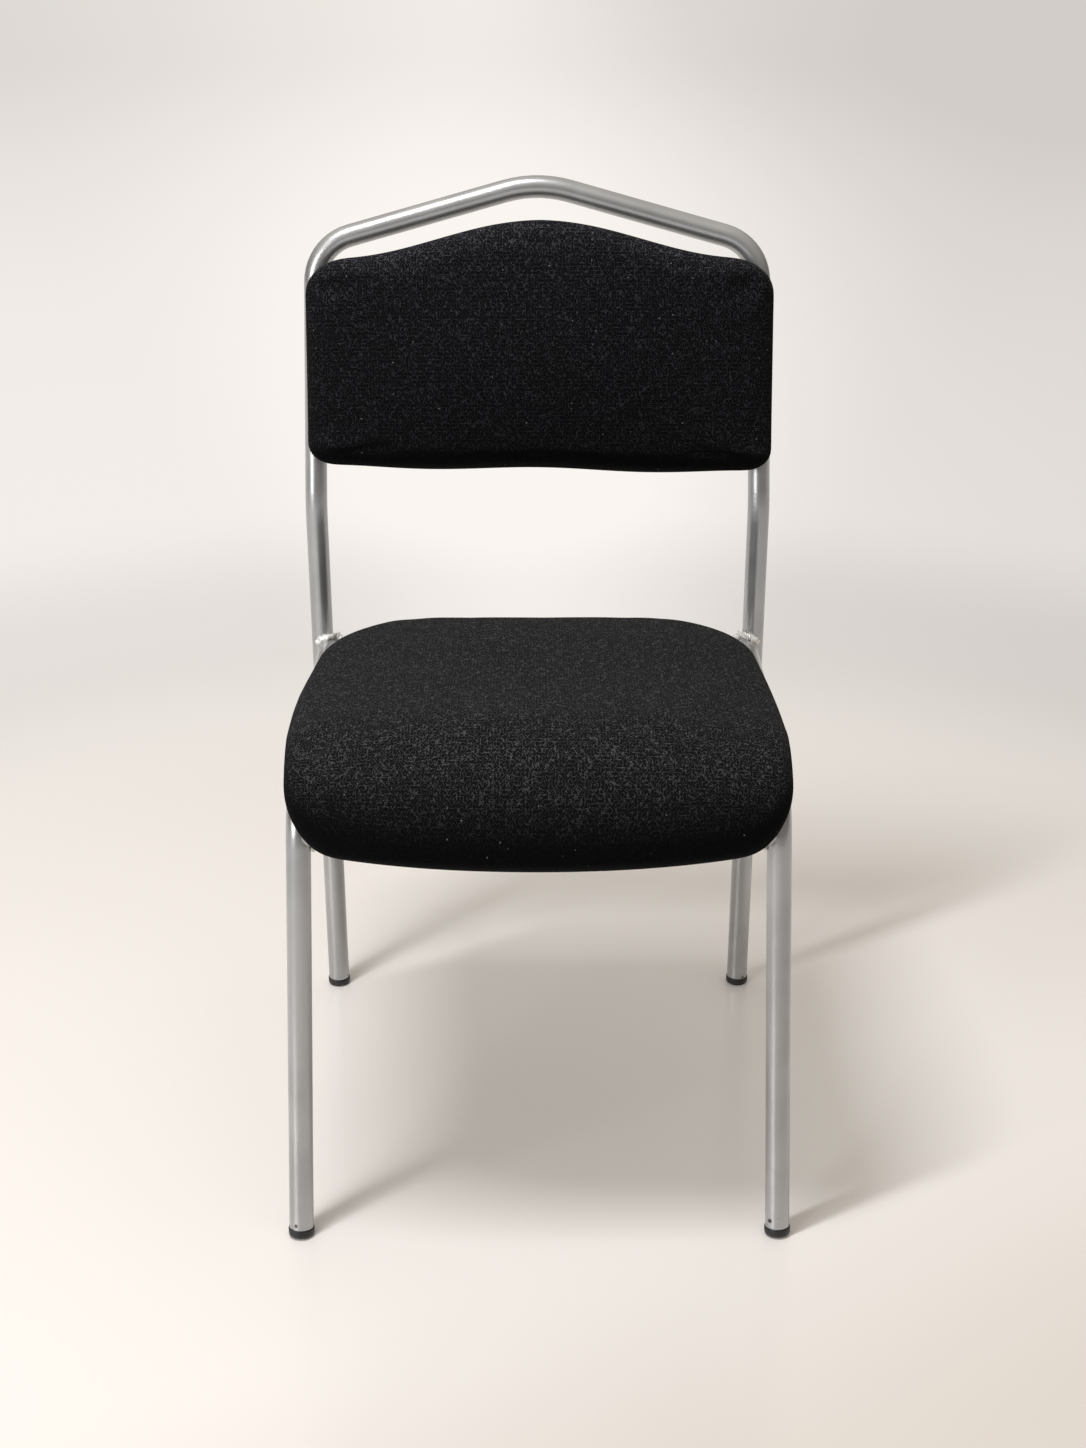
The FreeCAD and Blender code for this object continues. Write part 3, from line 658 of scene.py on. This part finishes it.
def zinc():
    """Zinc plated steel: bright, a little blue, finely mottled."""
    material, tree = new_material("zinc_plated_steel")
    where = add_node(tree, "TexCoord").outputs["Object"]
    spangle = add_node(tree, "TexNoise", {"Vector": where, "Scale": spots(1.2), "Detail": 3})
    colour = add_node(tree, "Mix", {0: spangle, 6: linear("#B4B6B8"), 7: linear("#8E9092")},
                      data_type="RGBA")
    shader = add_node(tree, "BsdfPrincipled", {
        "Base Color": colour.outputs[2], "Metallic": 1.0, "Roughness": 0.32})
    add_node(tree, "OutputMaterial", {"Surface": shader})
    return material


def upholstery(name, settings, ground, yarn, painted_light_from):
    """Crepe-woven wool and nylon upholstery cloth, near black.

    Crepe has no lines: its floats lie in small crooked ridges, drawn coarser than real ones so
    that they show. The ridges of faces that look up are painted grey and the others black, as
    painted light from above. The last argument is the upward part of a face's normal below
    which no painted light shows. Pale hairs show as flecks.
    """
    material, tree = new_material(name)
    cloth = add_node(tree, "TexCoord").outputs["UV"]
    spacing = settings.yarn_spacing / MM
    # A ridge lies where a noise, drawn out along the cloth, crosses its middle value
    drawn_out = add_node(tree, "Mapping", {0: cloth, "Scale": (1.0, 0.72, 1.0)})
    wander = add_node(tree, "TexNoise", {"Vector": drawn_out, "Scale": spots(spacing), "Detail": 0.6})
    offset = add_node(tree, "Math", {0: wander, 1: 0.5}, operation="SUBTRACT")
    distance = add_node(tree, "Math", {0: offset}, operation="ABSOLUTE")
    ridge = add_node(tree, "MapRange", {"Value": distance, "From Min": 0.060, "From Max": 0.004},
                     interpolation_type="SMOOTHSTEP")
    # Fibres and wider patches break up how brightly a ridge shows
    fibres = add_node(tree, "TexNoise", {"Vector": cloth, "Scale": spots(spacing * 0.42)})
    broken = add_node(tree, "MapRange", {"Value": fibres, "From Min": 0.30, "From Max": 0.64},
                      interpolation_type="SMOOTHSTEP")
    wide = add_node(tree, "TexNoise", {"Vector": cloth, "Scale": spots(spacing * 5), "Detail": 3,
                                       "Roughness": 0.6})
    patches = add_node(tree, "Math", {0: wide, 1: 0.7, 2: 0.6}, operation="MULTIPLY_ADD")
    strength = add_node(tree, "Math", {0: broken, 1: patches}, operation="MULTIPLY")
    strength = add_node(tree, "Math", {0: strength, 1: 0.75, 2: 0.25}, operation="MULTIPLY_ADD")
    lit = add_node(tree, "Math", {0: ridge, 1: strength, 2: 0.06}, operation="MULTIPLY_ADD")
    # Painted light from above: faces that look up get the grey of the ridges, the others stay black
    normal = add_node(tree, "NewGeometry").outputs["Normal"]
    up = add_node(tree, "SeparateXYZ", {0: normal}).outputs["Z"]
    lit_from_above = add_node(tree, "MapRange", {"Value": up, "From Min": painted_light_from, "From Max": 0.95},
                     interpolation_type="SMOOTHSTEP")
    painted_top_light = add_node(tree, "Math", {0: lit_from_above, 1: 0.97, 2: 0.03}, operation="MULTIPLY_ADD")
    share = add_node(tree, "Math", {0: lit, 1: painted_top_light}, operation="MULTIPLY")
    woven = add_node(tree, "Mix", {0: share, 6: opaque(ground), 7: opaque(yarn)}, data_type="RGBA")
    # Two in five cells of 11 mm hold a hair end
    hairs = add_node(tree, "TexVoronoi", {"Vector": cloth, "Scale": cells(11)})
    draw = add_node(tree, "SeparateXYZ", {0: hairs.outputs["Color"]}).outputs["X"]
    chosen = add_node(tree, "Math", {0: draw, 1: 0.6}, operation="GREATER_THAN")
    tip = add_node(tree, "MapRange", {"Value": hairs, "From Min": 0.08, "From Max": 0.04},
                   interpolation_type="SMOOTHSTEP")
    fleck = add_node(tree, "Math", {0: tip, 1: chosen}, operation="MULTIPLY")
    colour = add_node(tree, "Mix", {0: fleck, 6: woven.outputs[2], 7: opaque(settings.fleck_colour)},
                      data_type="RGBA")
    height = add_node(tree, "Math", {0: fibres, 1: 0.5, 2: ridge}, operation="MULTIPLY_ADD")
    bump = add_node(tree, "Bump", {"Height": height, "Strength": 0.6, "Distance": 0.0005})
    shader = add_node(tree, "BsdfPrincipled", {
        "Base Color": colour.outputs[2], "Roughness": 0.95, "Normal": bump, "Sheen Weight": 0.02,
        "Sheen Roughness": 0.5, "Specular IOR Level": 0.04})
    add_node(tree, "OutputMaterial", {"Surface": shader})
    return material


def lining_cloth():
    """Black non-woven polypropylene lining, bonded in dots: a dull felt with a fine dimple."""
    material, tree = new_material("non_woven_lining")
    where = add_node(tree, "TexCoord").outputs["Object"]
    # Real bonding dots are 1 mm apart; drawn at 2 mm so that they show
    dots = add_node(tree, "TexVoronoi", {"Vector": where, "Scale": cells(2), "Randomness": 0.15})
    fibres = add_node(tree, "TexNoise", {"Vector": where, "Scale": spots(4), "Detail": 5,
                                         "Roughness": 0.7})
    colour = add_node(tree, "Mix", {0: fibres, 6: linear("#141415"), 7: linear("#2A2A2B")},
                      data_type="RGBA")
    relief = add_node(tree, "Math", {0: dots, 1: fibres}, operation="ADD")
    bump = add_node(tree, "Bump", {"Height": relief, "Strength": 0.5, "Distance": 0.0004})
    shader = add_node(tree, "BsdfPrincipled", {
        "Base Color": colour.outputs[2], "Roughness": 0.95, "Normal": bump,
        "Specular IOR Level": 0.2})
    add_node(tree, "OutputMaterial", {"Surface": shader})
    return material


def panel_plastic():
    """Black polypropylene sheet with an embossed leather grain, satin."""
    material, tree = new_material("embossed_polypropylene_sheet")
    where = add_node(tree, "TexCoord").outputs["Object"]
    # The grain's pebbles are about 1.5 mm wide
    pebbles = add_node(tree, "TexVoronoi", {"Vector": where, "Scale": cells(1.5)}, feature="SMOOTH_F1")
    clouds = add_node(tree, "TexNoise", {"Vector": where, "Scale": spots(30), "Detail": 4})
    colour = add_node(tree, "Mix", {0: clouds, 6: linear("#161617"), 7: linear("#222223")},
                      data_type="RGBA")
    bump = add_node(tree, "Bump", {"Height": pebbles, "Strength": 0.4, "Distance": 0.0003})
    shader = add_node(tree, "BsdfPrincipled", {
        "Base Color": colour.outputs[2], "Roughness": 0.5, "Normal": bump})
    add_node(tree, "OutputMaterial", {"Surface": shader})
    return material


def plywood():
    """Beech plywood, hot pressed: pale open grain along its length, plies at the edge."""
    material, tree = new_material("beech_plywood")
    where = add_node(tree, "TexCoord").outputs["Object"]
    stretched = add_node(tree, "Mapping", {0: where, "Scale": (1.0, 0.06, 1.0)})
    grain = add_node(tree, "TexNoise", {"Vector": stretched, "Scale": spots(1.5), "Detail": 4,
                                        "Roughness": 0.6})
    wood = add_node(tree, "Mix", {0: grain, 6: linear("#C79B67"), 7: linear("#E2BF8E")},
                    data_type="RGBA")
    plies = add_node(tree, "TexWave", {"Vector": where, "Scale": cells(3)}, bands_direction="Z")
    faint = add_node(tree, "Math", {0: plies.outputs[1], 1: 0.25}, operation="MULTIPLY")
    colour = add_node(tree, "Mix", {0: faint, 6: wood.outputs[2], 7: linear("#9A6F42")},
                      data_type="RGBA")
    shader = add_node(tree, "BsdfPrincipled", {"Base Color": colour.outputs[2], "Roughness": 0.62})
    add_node(tree, "OutputMaterial", {"Surface": shader})
    return material


def floor_finish(settings):
    """Warm white seamless studio floor, faintly glossy, that fades into its backdrop colour.

    Far out it glows by itself for the camera and in reflections, with painted light and shade:
    brightest behind the chair, painted darker to the right, far away and in a band behind the seat.
    """
    material, tree = new_material("warm_white_studio_floor")
    where = add_node(tree, "TexCoord").outputs["Object"]
    reach = add_node(tree, "VectorMath", {0: where}, operation="LENGTH").outputs["Value"]
    side, depth = add_node(tree, "SeparateXYZ", {0: where}).outputs[:2]
    # Painted shade: the floor's colour is painted darker to the right of and in front of the chair
    across = add_node(tree, "Math", {0: side, 1: 0.5}, operation="MULTIPLY")
    ahead = add_node(tree, "Math", {0: across, 1: depth}, operation="SUBTRACT")
    front = add_node(tree, "MapRange", {"Value": ahead, "From Min": 0.30, "From Max": 0.75},
                     interpolation_type="SMOOTHSTEP")
    paint = add_node(tree, "Mix", {0: front, 6: opaque(settings.floor_colour),
                                   7: opaque(settings.front_shade_colour)}, data_type="RGBA")
    shader = add_node(tree, "BsdfPrincipled", {
        "Base Color": paint.outputs[2], "Roughness": 0.22, "Specular IOR Level": 0.5})
    # Painted light and shade of the glowing backdrop: darker far away, to the right and in a band
    # behind the seat, lighter behind the chair
    away = add_node(tree, "MapRange", {"Value": reach, "From Min": 2.0, "From Max": 11.0},
                    interpolation_type="SMOOTHSTEP")
    right = add_node(tree, "MapRange", {"Value": side, "From Min": -0.6, "From Max": 1.3},
                     interpolation_type="SMOOTHSTEP")
    inner = add_node(tree, "MapRange", {"Value": reach, "From Min": 0.9, "From Max": 1.35},
                     interpolation_type="SMOOTHSTEP")
    outer = add_node(tree, "MapRange", {"Value": reach, "From Min": 2.1, "From Max": 1.5},
                     interpolation_type="SMOOTHSTEP")
    band = add_node(tree, "Math", {0: inner, 1: outer}, operation="MULTIPLY")
    slant = add_node(tree, "Math", {0: side, 1: reach}, operation="DIVIDE")
    slant = add_node(tree, "Math", {0: slant}, operation="ABSOLUTE")
    centre = add_node(tree, "MapRange", {"Value": slant, "From Min": 0.30, "From Max": 0.0},
                      interpolation_type="SMOOTHSTEP")
    backdrop_shade = add_node(tree, "Math", {0: away, 1: 0.55, 2: 0.2}, operation="MULTIPLY_ADD")
    for share, weight in ((right, 0.45), (band, 0.36), (centre, -0.5)):
        backdrop_shade = add_node(tree, "Math", {0: share, 1: weight, 2: backdrop_shade}, operation="MULTIPLY_ADD")
    tone = add_node(tree, "Mix", {0: backdrop_shade, 6: opaque(settings.glow_colour),
                                  7: opaque(settings.backdrop_colour)}, data_type="RGBA")
    glow = add_node(tree, "Emission", {"Color": tone.outputs[2]})
    path = add_node(tree, "LightPath").outputs
    mirrored = add_node(tree, "Math", {0: path["Is Glossy Ray"], 1: path["Is Transmission Ray"]},
                        operation="MAXIMUM")
    seen = add_node(tree, "Math", {0: path["Is Camera Ray"], 1: mirrored}, operation="MAXIMUM")
    far = add_node(tree, "MapRange", {"Value": reach, "From Min": settings.fade_start,
                                      "From Max": settings.fade_end},
                   interpolation_type="SMOOTHSTEP")
    glowing = add_node(tree, "Math", {0: far, 1: seen}, operation="MULTIPLY")
    both = add_node(tree, "MixShader", {0: glowing, 1: shader, 2: glow})
    add_node(tree, "OutputMaterial", {"Surface": both})
    return material


def wear(piece, material):
    """Gives a piece one material."""
    piece.data.materials.clear()
    piece.data.materials.append(material)


def dress_node(name, material):
    """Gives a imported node's slots one material."""
    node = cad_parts[name]
    if not node.material_slots:
        node.data.materials.append(material)
    for place in node.material_slots:
        place.material = material


def settle(piece, slot, *nodes):
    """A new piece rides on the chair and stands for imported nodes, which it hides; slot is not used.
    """
    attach(piece, "root")
    if nodes:
        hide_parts(*nodes)


# Settings

def colour_setting(name, description, value):
    """A colour that a user may change, from sRGB hex."""
    return bpy.props.FloatVectorProperty(name=name, description=description, subtype="COLOR",
                                         size=3, min=0, max=1, default=linear(value, False))


def length_setting(name, description, value):
    """A length in metres that a user may change."""
    return bpy.props.FloatProperty(name=name, description=description, default=value,
                                   min=0, unit="LENGTH", precision=4)


class ChoirChairFrame(bpy.types.PropertyGroup):
    """Paint, welds and caps of the frame."""
    paint_colour: colour_setting("Paint", "Silver-grey of the powder coat", "#B5B6B7")
    paint_shade: colour_setting("Paint shade", "Slightly darker patches of the coat", "#A9AAAB")
    weld_colour: colour_setting("Weld", "Bright metal of the weld beads", "#E4E3E0")
    cap_colour: colour_setting("Foot cap", "Black of the foot caps", "#18181A")
    bead_radius: length_setting("Bead size", "Radius of a weld bead", 0.0030)


class ChoirChairPads(bpy.types.PropertyGroup):
    """Covers of the seat and the back."""
    yarn_spacing: length_setting("Yarn spacing", "Distance between drawn ridges", 0.0014)
    edge_roll: length_setting("Edge roll", "Width of the rolled edge of a pad", 0.017)
    edge_tuck: length_setting("Edge tuck", "How far the cover tucks in below its widest line", 0.0006)
    swell_limit: length_setting("Swell limit", "Most that the cover may swell", 0.0012)
    seat_ground: colour_setting("Seat ground", "Dark yarns of the seat's cloth", "#040405")
    # The seat's yarn colour shows in full only on faces that look up: painted light from above
    seat_yarn: colour_setting("Seat yarn", "Dusty yarns of the seat's cloth", "#4D4D4F")
    back_ground: colour_setting("Back ground", "Dark yarns of the back's cloth", "#040405")
    # The back's yarn colour shows in full only on faces that look up: painted light from above
    back_yarn: colour_setting("Back yarn", "Dusty yarns of the back's cloth", "#4A4A50")
    fleck_colour: colour_setting("Fleck", "Pale hairs in the cloth", "#626264")


class ChoirChairStage(bpy.types.PropertyGroup):
    """Floor, lamps and camera."""
    floor_colour: colour_setting("Floor", "Warm white of the floor", "#EDE9E6")
    # Painted shade of the floor right of and in front of the chair
    front_shade_colour: colour_setting("Floor in front", "Duller floor right and in front", "#DAD4CE")
    # The floor glows in these colours far out, blended by painted light and shade
    backdrop_colour: colour_setting("Backdrop", "Colour that the floor fades to", "#D2CDC8")
    glow_colour: colour_setting("Glow", "Bright part of the backdrop behind the chair", "#FAF5F0")
    fade_start: length_setting("Fade start", "Where the floor starts to fade", 0.6)
    fade_end: length_setting("Fade end", "Where the floor is all backdrop", 1.5)
    floor_reach: length_setting("Floor reach", "Radius of the floor", 30.0)
    camera_height: length_setting("Camera height", "Height of the lens", 1.197)
    camera_back: length_setting("Camera distance", "Distance of the lens before the origin", 1.9505)
    camera_pitch: bpy.props.FloatProperty(
        name="Camera pitch", description="How far the camera looks down", subtype="ANGLE",
        default=math.radians(22.36))
    focal_length: bpy.props.FloatProperty(
        name="Focal length", description="Millimetres on a 36 mm high frame", default=54.7, min=1)


class ChairOperator:
    """What the operators share."""
    bl_options = {"REGISTER", "UNDO"}


class CHOIRCHAIR_OT_frame_paint(ChairOperator, bpy.types.Operator):
    """Paints the bent tubes, cross rails and tabs"""
    bl_idname = "choirchair.frame_paint"
    bl_label = "Frame paint"

    def execute(self, context):
        paint = powder_coat(context.scene.choir_chair_frame)
        for name in ("back_frame_tube", "left_leg_and_rail", "right_leg_and_rail",
                     "front_cross_rail", "rear_cross_rail", "seat_tabs", "back_tabs"):
            dress_node(name, paint)
        return {"FINISHED"}


class CHOIRCHAIR_OT_weld_beads(ChairOperator, bpy.types.Operator):
    """Lays lumpy weld beads round the tube joints"""
    bl_idname = "choirchair.weld_beads"
    bl_label = "Weld beads"

    def execute(self, context):
        settings = context.scene.choir_chair_frame
        metal = weld_metal(settings)
        radius = settings.bead_radius / MM
        turns, size, phase = RAIL_BEAD
        rails = [bead_surface(rail_line(side), TUBE_R, rear_leg_line(side), TUBE_R,
                              ACROSS * side, turns, radius * size, phase * side) for side in (-1, 1)]
        front, depth = [], rail_line(1)[1][1] - REAR_CROSS_AHEAD
        rear, drop = [], UP * -REAR_CROSS_DROP
        for side in (-1, 1):
            other, this = (along(front_leg_line(s), FRONT_CROSS_HEIGHT) for s in (-side, side))
            turns, size, phase = FRONT_BEAD
            front.append(bead_surface((other, this), CROSS_R, front_leg_line(side), TUBE_R,
                                      FORWARD, turns, radius * size, phase * side))
            other, this = (along_depth(rail_line(s), depth) + drop for s in (-side, side))
            turns, size, phase = REAR_BEAD
            rear.append(bead_surface((other, this), CROSS_R, rail_line(side), TUBE_R,
                                     FORWARD, turns, radius * size, phase * side))
        for name, beads in (("rail_weld_beads", rails), ("front_cross_rail_weld_beads", front),
                            ("rear_cross_rail_weld_beads", rear)):
            points, faces = joined(beads)
            piece = mesh_object(name.replace("_weld_beads", "_welds"), points * MM, faces)
            wear(piece, metal)
            settle(piece, "weld_paint", name)
        return {"FINISHED"}


class CHOIRCHAIR_OT_foot_caps(ChairOperator, bpy.types.Operator):
    """Moulds the plastic caps on the tube ends"""
    bl_idname = "choirchair.foot_caps"
    bl_label = "Foot caps"

    def execute(self, context):
        plastic = cap_plastic(context.scene.choir_chair_frame)
        for name, line_of in (("front_foot_caps", front_leg_line), ("rear_foot_caps", rear_leg_line)):
            caps = []
            for side in (-1, 1):
                foot, above = line_of(side)
                caps.append(turned_surface(CAP_RADII, CAP_HEIGHTS, foot, above - foot, CAP_SIDES,
                                           floor=0.0))
            points, faces = joined(caps)
            piece = mesh_object(name.replace("_foot", "_moulded"), points * MM, faces)
            wear(piece, plastic)
            settle(piece, "cap_plastic", name)
        return {"FINISHED"}


class CHOIRCHAIR_OT_seat_pad(ChairOperator, bpy.types.Operator):
    """Makes the seat pad with its lip rolled over the knees"""
    bl_idname = "choirchair.seat_pad"
    bl_label = "Seat pad"

    def execute(self, context):
        settings = context.scene.choir_chair_pads
        line = SeatLine()
        steps = (1 - np.cos(np.linspace(0, math.pi, OUTLINE_STEPS))) / 2
        distance = line.end * steps
        half = line.half_width(distance)
        outline = closed_outline(distance, -half, half)
        near, far = line.end * np.array(SEAT_CORNER_MARKS)
        narrow, broad = line.half_width(near), line.half_width(far)
        corners = [(near, -narrow), (far, -broad), (far, broad), (near, narrow)]
        ring = four_sides(outline, corners, SEAT_QUADS[::-1])[:, ::-1]
        # The plan is (x, distance); the outline ran the other way round, so it is turned back
        ring = ring[::-1]
        counts = SEAT_QUADS[::-1]
        ring = np.roll(ring, 1 + counts[1], axis=0)
        ring[:, 0] -= SEAT_ASKEW * line.bulge(ring[:, 1])
        mark = np.linspace(0, line.end, CREST_STEPS)
        spine, out = line.place(mark)
        crest = spine + out * (TUBE_R + line.rise(np.zeros(CREST_STEPS), mark))[:, None]
        run = np.concatenate([[0], np.cumsum(np.linalg.norm(np.diff(crest, axis=0), axis=1))])

        def rise(plan):
            return line.rise(plan[:, 0], plan[:, 1])

        def place(plan, height):
            bow = np.clip(1 - (line.end - plan[:, 1]) / line.knee, 0, 1) ** 2
            bow = bow * (LIP_BOW * (1 - (plan[:, 0] / (SEAT_FRONT_WIDE / 2)) ** 2) - LIP_LIFT)
            spot, way = line.place(plan[:, 1] + bow)
            return spot + way * (TUBE_R + PAD_CLEAR + height)[:, None] + plan[:, :1] * ACROSS

        def cloth_length(plan):
            return np.stack([plan[:, 0], np.interp(plan[:, 1], mark, run)], -1)

        piece = pad_object("seat_pad", ring, SEAT_QUADS, settings, rise, place, cloth_length)
        # The seat's cloth gets painted light from above on faces that look up
        wear(piece, upholstery("seat_cloth", settings, settings.seat_ground, settings.seat_yarn,
                               painted_light_from=0.2))
        settle(piece, "cover_fabric", "seat_cover", "seat_foam")
        return {"FINISHED"}


class CHOIRCHAIR_OT_back_pad(ChairOperator, bpy.types.Operator):
    """Makes the back pad with its peaked top"""
    bl_idname = "choirchair.back_pad"
    bl_label = "Back pad"

    def execute(self, context):
        settings = context.scene.choir_chair_pads
        half = BACK_WIDE / 2
        x = -half * np.cos(np.linspace(0, math.pi, OUTLINE_STEPS))

        def corner_drop(radius):
            past = np.clip(1 - (half - np.abs(x)) / radius, 0, 1)
            return radius * CORNER_DRAW * (1 - np.sqrt(1 - past ** 2))

        share = np.minimum(np.abs(x) / (half - BACK_CORNER), 1)
        wave = (1 + np.cos(math.pi * share)) / 2
        top = BACK_SIDE_TOP + (BACK_PEAK - BACK_SIDE_TOP) * wave ** TOP_SLOPE
        hem = BACK_BOTTOM - HEM_TILT * x + HEM_WAVE[0] * np.cos(2 * math.pi * x / HEM_WAVE[1])
        outline = closed_outline(x, hem + corner_drop(BACK_CORNER),
                                 top - corner_drop(BACK_TOP_CORNER))
        near = half - BACK_CORNER * CORNER_MARK
        low, high = BACK_BOTTOM + CORNER_MARKS_IN[0], BACK_SIDE_TOP - CORNER_MARKS_IN[1]
        corners = [(-near, low), (near, low), (near, high), (-near, high)]
        ring = four_sides(outline, corners, BACK_QUADS)

        def rise(plan):
            share = np.clip(np.abs(plan[:, 0]) / half, 0, 1)
            rounded = 1 - ((plan[:, 1] - BACK_MIDDLE) / BACK_REACH) ** 2 * TOP_ROUND
            return BACK_THICK[1] + (BACK_THICK[0] - BACK_THICK[1]) * (1 - share ** 2) * rounded

        def place(plan, height):
            return (leaned(plan[:, 0] + BACK_SHIFT, plan[:, 1])
                    + (TUBE_R + PAD_CLEAR + height)[:, None] * LEAN_FRONT)

        def cloth_length(plan):
            return np.stack([plan[:, 0], plan[:, 1] / math.cos(BACK_LEAN)], -1)

        piece = pad_object("back_pad", ring, BACK_QUADS, settings, rise, place, cloth_length)
        # The back's cloth gets painted light from above on faces that look up, lighter towards its top
        wear(piece, upholstery("back_cloth", settings, settings.back_ground, settings.back_yarn,
                               painted_light_from=-0.30))
        settle(piece, "cover_fabric", "back_cover", "back_foam")
        return {"FINISHED"}


class CHOIRCHAIR_OT_boards(ChairOperator, bpy.types.Operator):
    """Finishes the boards, the dust cover and the rear panel"""
    bl_idname = "choirchair.boards"
    bl_label = "Boards and linings"

    def execute(self, context):
        wood = plywood()
        dress_node("seat_board", wood)
        dress_node("back_board", wood)
        dress_node("seat_dust_cover", lining_cloth())
        dress_node("back_rear_panel", panel_plastic())
        return {"FINISHED"}


class CHOIRCHAIR_OT_screws(ChairOperator, bpy.types.Operator):
    """Puts eight flanged screws with a sunk drive through the tabs"""
    bl_idname = "choirchair.screws"
    bl_label = "Screws"

    def execute(self, context):
        line = SeatLine()
        places = []
        for side in (-1, 1):
            for distance in (SEAT_TAB_FROM_REAR, line.flat - SEAT_TAB_FROM_KNEE):
                spot, out = line.place(distance)
                rail_x = along_depth(rail_line(side), spot[1])[0]
                spot = spot + ACROSS * (rail_x - side * (TUBE_R + TAB_REACH / 2))
                places.append((spot + out * (TUBE_R - TAB_THICK), out))
            for height in BACK_TAB_HEIGHTS:
                spot = along(upright_line(side), height) - ACROSS * (side * (TUBE_R + TAB_REACH / 2))
                places.append((spot + LEAN_FRONT * (TUBE_R - TAB_THICK), LEAN_FRONT))
        points, faces = joined([turned_surface(SCREW_RADII, SCREW_HEIGHTS, spot, way, SCREW_SIDES)
                                for spot, way in places])
        piece = mesh_object("pad_screws", points * MM, faces)
        wear(piece, zinc())
        settle(piece, "frame_paint")
        return {"FINISHED"}


def soft_lamp(name, place, target, size, watts, colour):
    """A rectangular soft lamp that shines from a place towards a target."""
    light = bpy.data.lights.new(name, "AREA")
    light.shape = "RECTANGLE"
    light.size, light.size_y = size
    light.energy = watts
    light.color = linear(colour, False)
    lamp = bpy.data.objects.new(name, light)
    bpy.context.scene.collection.objects.link(lamp)
    lamp.location = place
    direction = Vector(target) - Vector(place)
    lamp.rotation_euler = direction.to_track_quat("-Z", "Y").to_euler()
    return lamp


class CHOIRCHAIR_OT_stage(ChairOperator, bpy.types.Operator):
    """Sets the floor, the lamps and the camera"""
    bl_idname = "choirchair.stage"
    bl_label = "Stage"

    def execute(self, context):
        scene, settings = context.scene, context.scene.choir_chair_stage
        points, faces = turned_surface([settings.floor_reach, settings.floor_reach], [-0.02, -0.0002],
                                       (0, 0, 0), UP, 96)
        floor = mesh_object("studio_floor", points, faces, smooth=False)
        wear(floor, floor_finish(settings))
        soft_lamp("key_lamp", place=(-0.60, -0.42, 2.60), target=(0, 0, 0.3), size=(0.14, 1.0),
                  watts=35, colour="#FDFDFF")
        soft_lamp("side_lamp", place=(-3.3, -3.4, 2.0), target=(0, 0, 0.4), size=(2.4, 2.4),
                  watts=104, colour="#FFFFFF")
        world = bpy.data.worlds.new("studio")
        world.use_nodes = True
        world.node_tree.nodes.clear()
        tree = world.node_tree
        path = add_node(tree, "LightPath").outputs
        seen = add_node(tree, "Math", {0: path["Is Camera Ray"], 1: path["Is Transmission Ray"]},
                        operation="MAXIMUM")
        # The ceiling is bright, the pale backdrop less so and the rest of the room dim
        way = add_node(tree, "TexCoord").outputs["Generated"]
        back, above = add_node(tree, "SeparateXYZ", {0: way}).outputs[1:3]
        level = 0.11
        for height, low, share in ((above, 0.0, 0.63), (back, 0.2, 0.20)):
            part = add_node(tree, "MapRange", {"Value": height, "From Min": low, "From Max": 1.0},
                            interpolation_type="SMOOTHSTEP")
            level = add_node(tree, "Math", {0: part, 1: share, 2: level}, operation="MULTIPLY_ADD")
        dim = add_node(tree, "Background", {0: linear("#FFF7EC"), 1: level})
        pale = add_node(tree, "Background", {0: opaque(settings.backdrop_colour), 1: 1.0})
        both = add_node(tree, "MixShader", {0: seen, 1: dim, 2: pale})
        add_node(tree, "OutputWorld", {0: both})
        scene.world = world
        scene.view_settings.view_transform = "Standard"
        lens = bpy.data.cameras.new("photo_camera")
        lens.sensor_fit = "VERTICAL"
        lens.sensor_height = 36
        lens.lens = settings.focal_length
        lens.clip_end = 100
        camera = bpy.data.objects.new("photo_camera", lens)
        scene.collection.objects.link(camera)
        camera.location = (CAMERA_ASIDE, -settings.camera_back, settings.camera_height)
        camera.rotation_euler = (math.pi / 2 - settings.camera_pitch, 0, CAMERA_YAW)
        scene.camera = camera
        return {"FINISHED"}


class CHOIRCHAIR_PT_panel(bpy.types.Panel):
    """Lists the steps that finish the chair"""
    bl_idname = "CHOIRCHAIR_PT_panel"
    bl_label = "Choir chair"
    bl_space_type = "VIEW_3D"
    bl_region_type = "UI"
    bl_category = "Choir chair"

    def draw(self, context):
        for operator in OPERATORS:
            self.layout.operator(operator.bl_idname)


OPERATORS = (CHOIRCHAIR_OT_stage, CHOIRCHAIR_OT_frame_paint, CHOIRCHAIR_OT_weld_beads,
             CHOIRCHAIR_OT_foot_caps, CHOIRCHAIR_OT_seat_pad, CHOIRCHAIR_OT_back_pad,
             CHOIRCHAIR_OT_boards, CHOIRCHAIR_OT_screws)
GROUPS = {"choir_chair_frame": ChoirChairFrame, "choir_chair_pads": ChoirChairPads,
          "choir_chair_stage": ChoirChairStage}


def register():
    """Makes Blender know the settings, steps and panel."""
    for group in GROUPS.values():
        bpy.utils.register_class(group)
    for name, group in GROUPS.items():
        setattr(bpy.types.Scene, name, bpy.props.PointerProperty(type=group))
    for item in OPERATORS + (CHOIRCHAIR_PT_panel,):
        bpy.utils.register_class(item)


def unregister():
    """Takes them out again, last first."""
    for item in reversed(OPERATORS + (CHOIRCHAIR_PT_panel,)):
        bpy.utils.unregister_class(item)
    for name, group in reversed(GROUPS.items()):
        delattr(bpy.types.Scene, name)
        bpy.utils.unregister_class(group)


def main():
    """Registers the parts of the add-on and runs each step."""
    register()
    for operator in OPERATORS:
        group, step = operator.bl_idname.split(".")
        getattr(getattr(bpy.ops, group), step)()


if __name__ == "__main__":
    main()
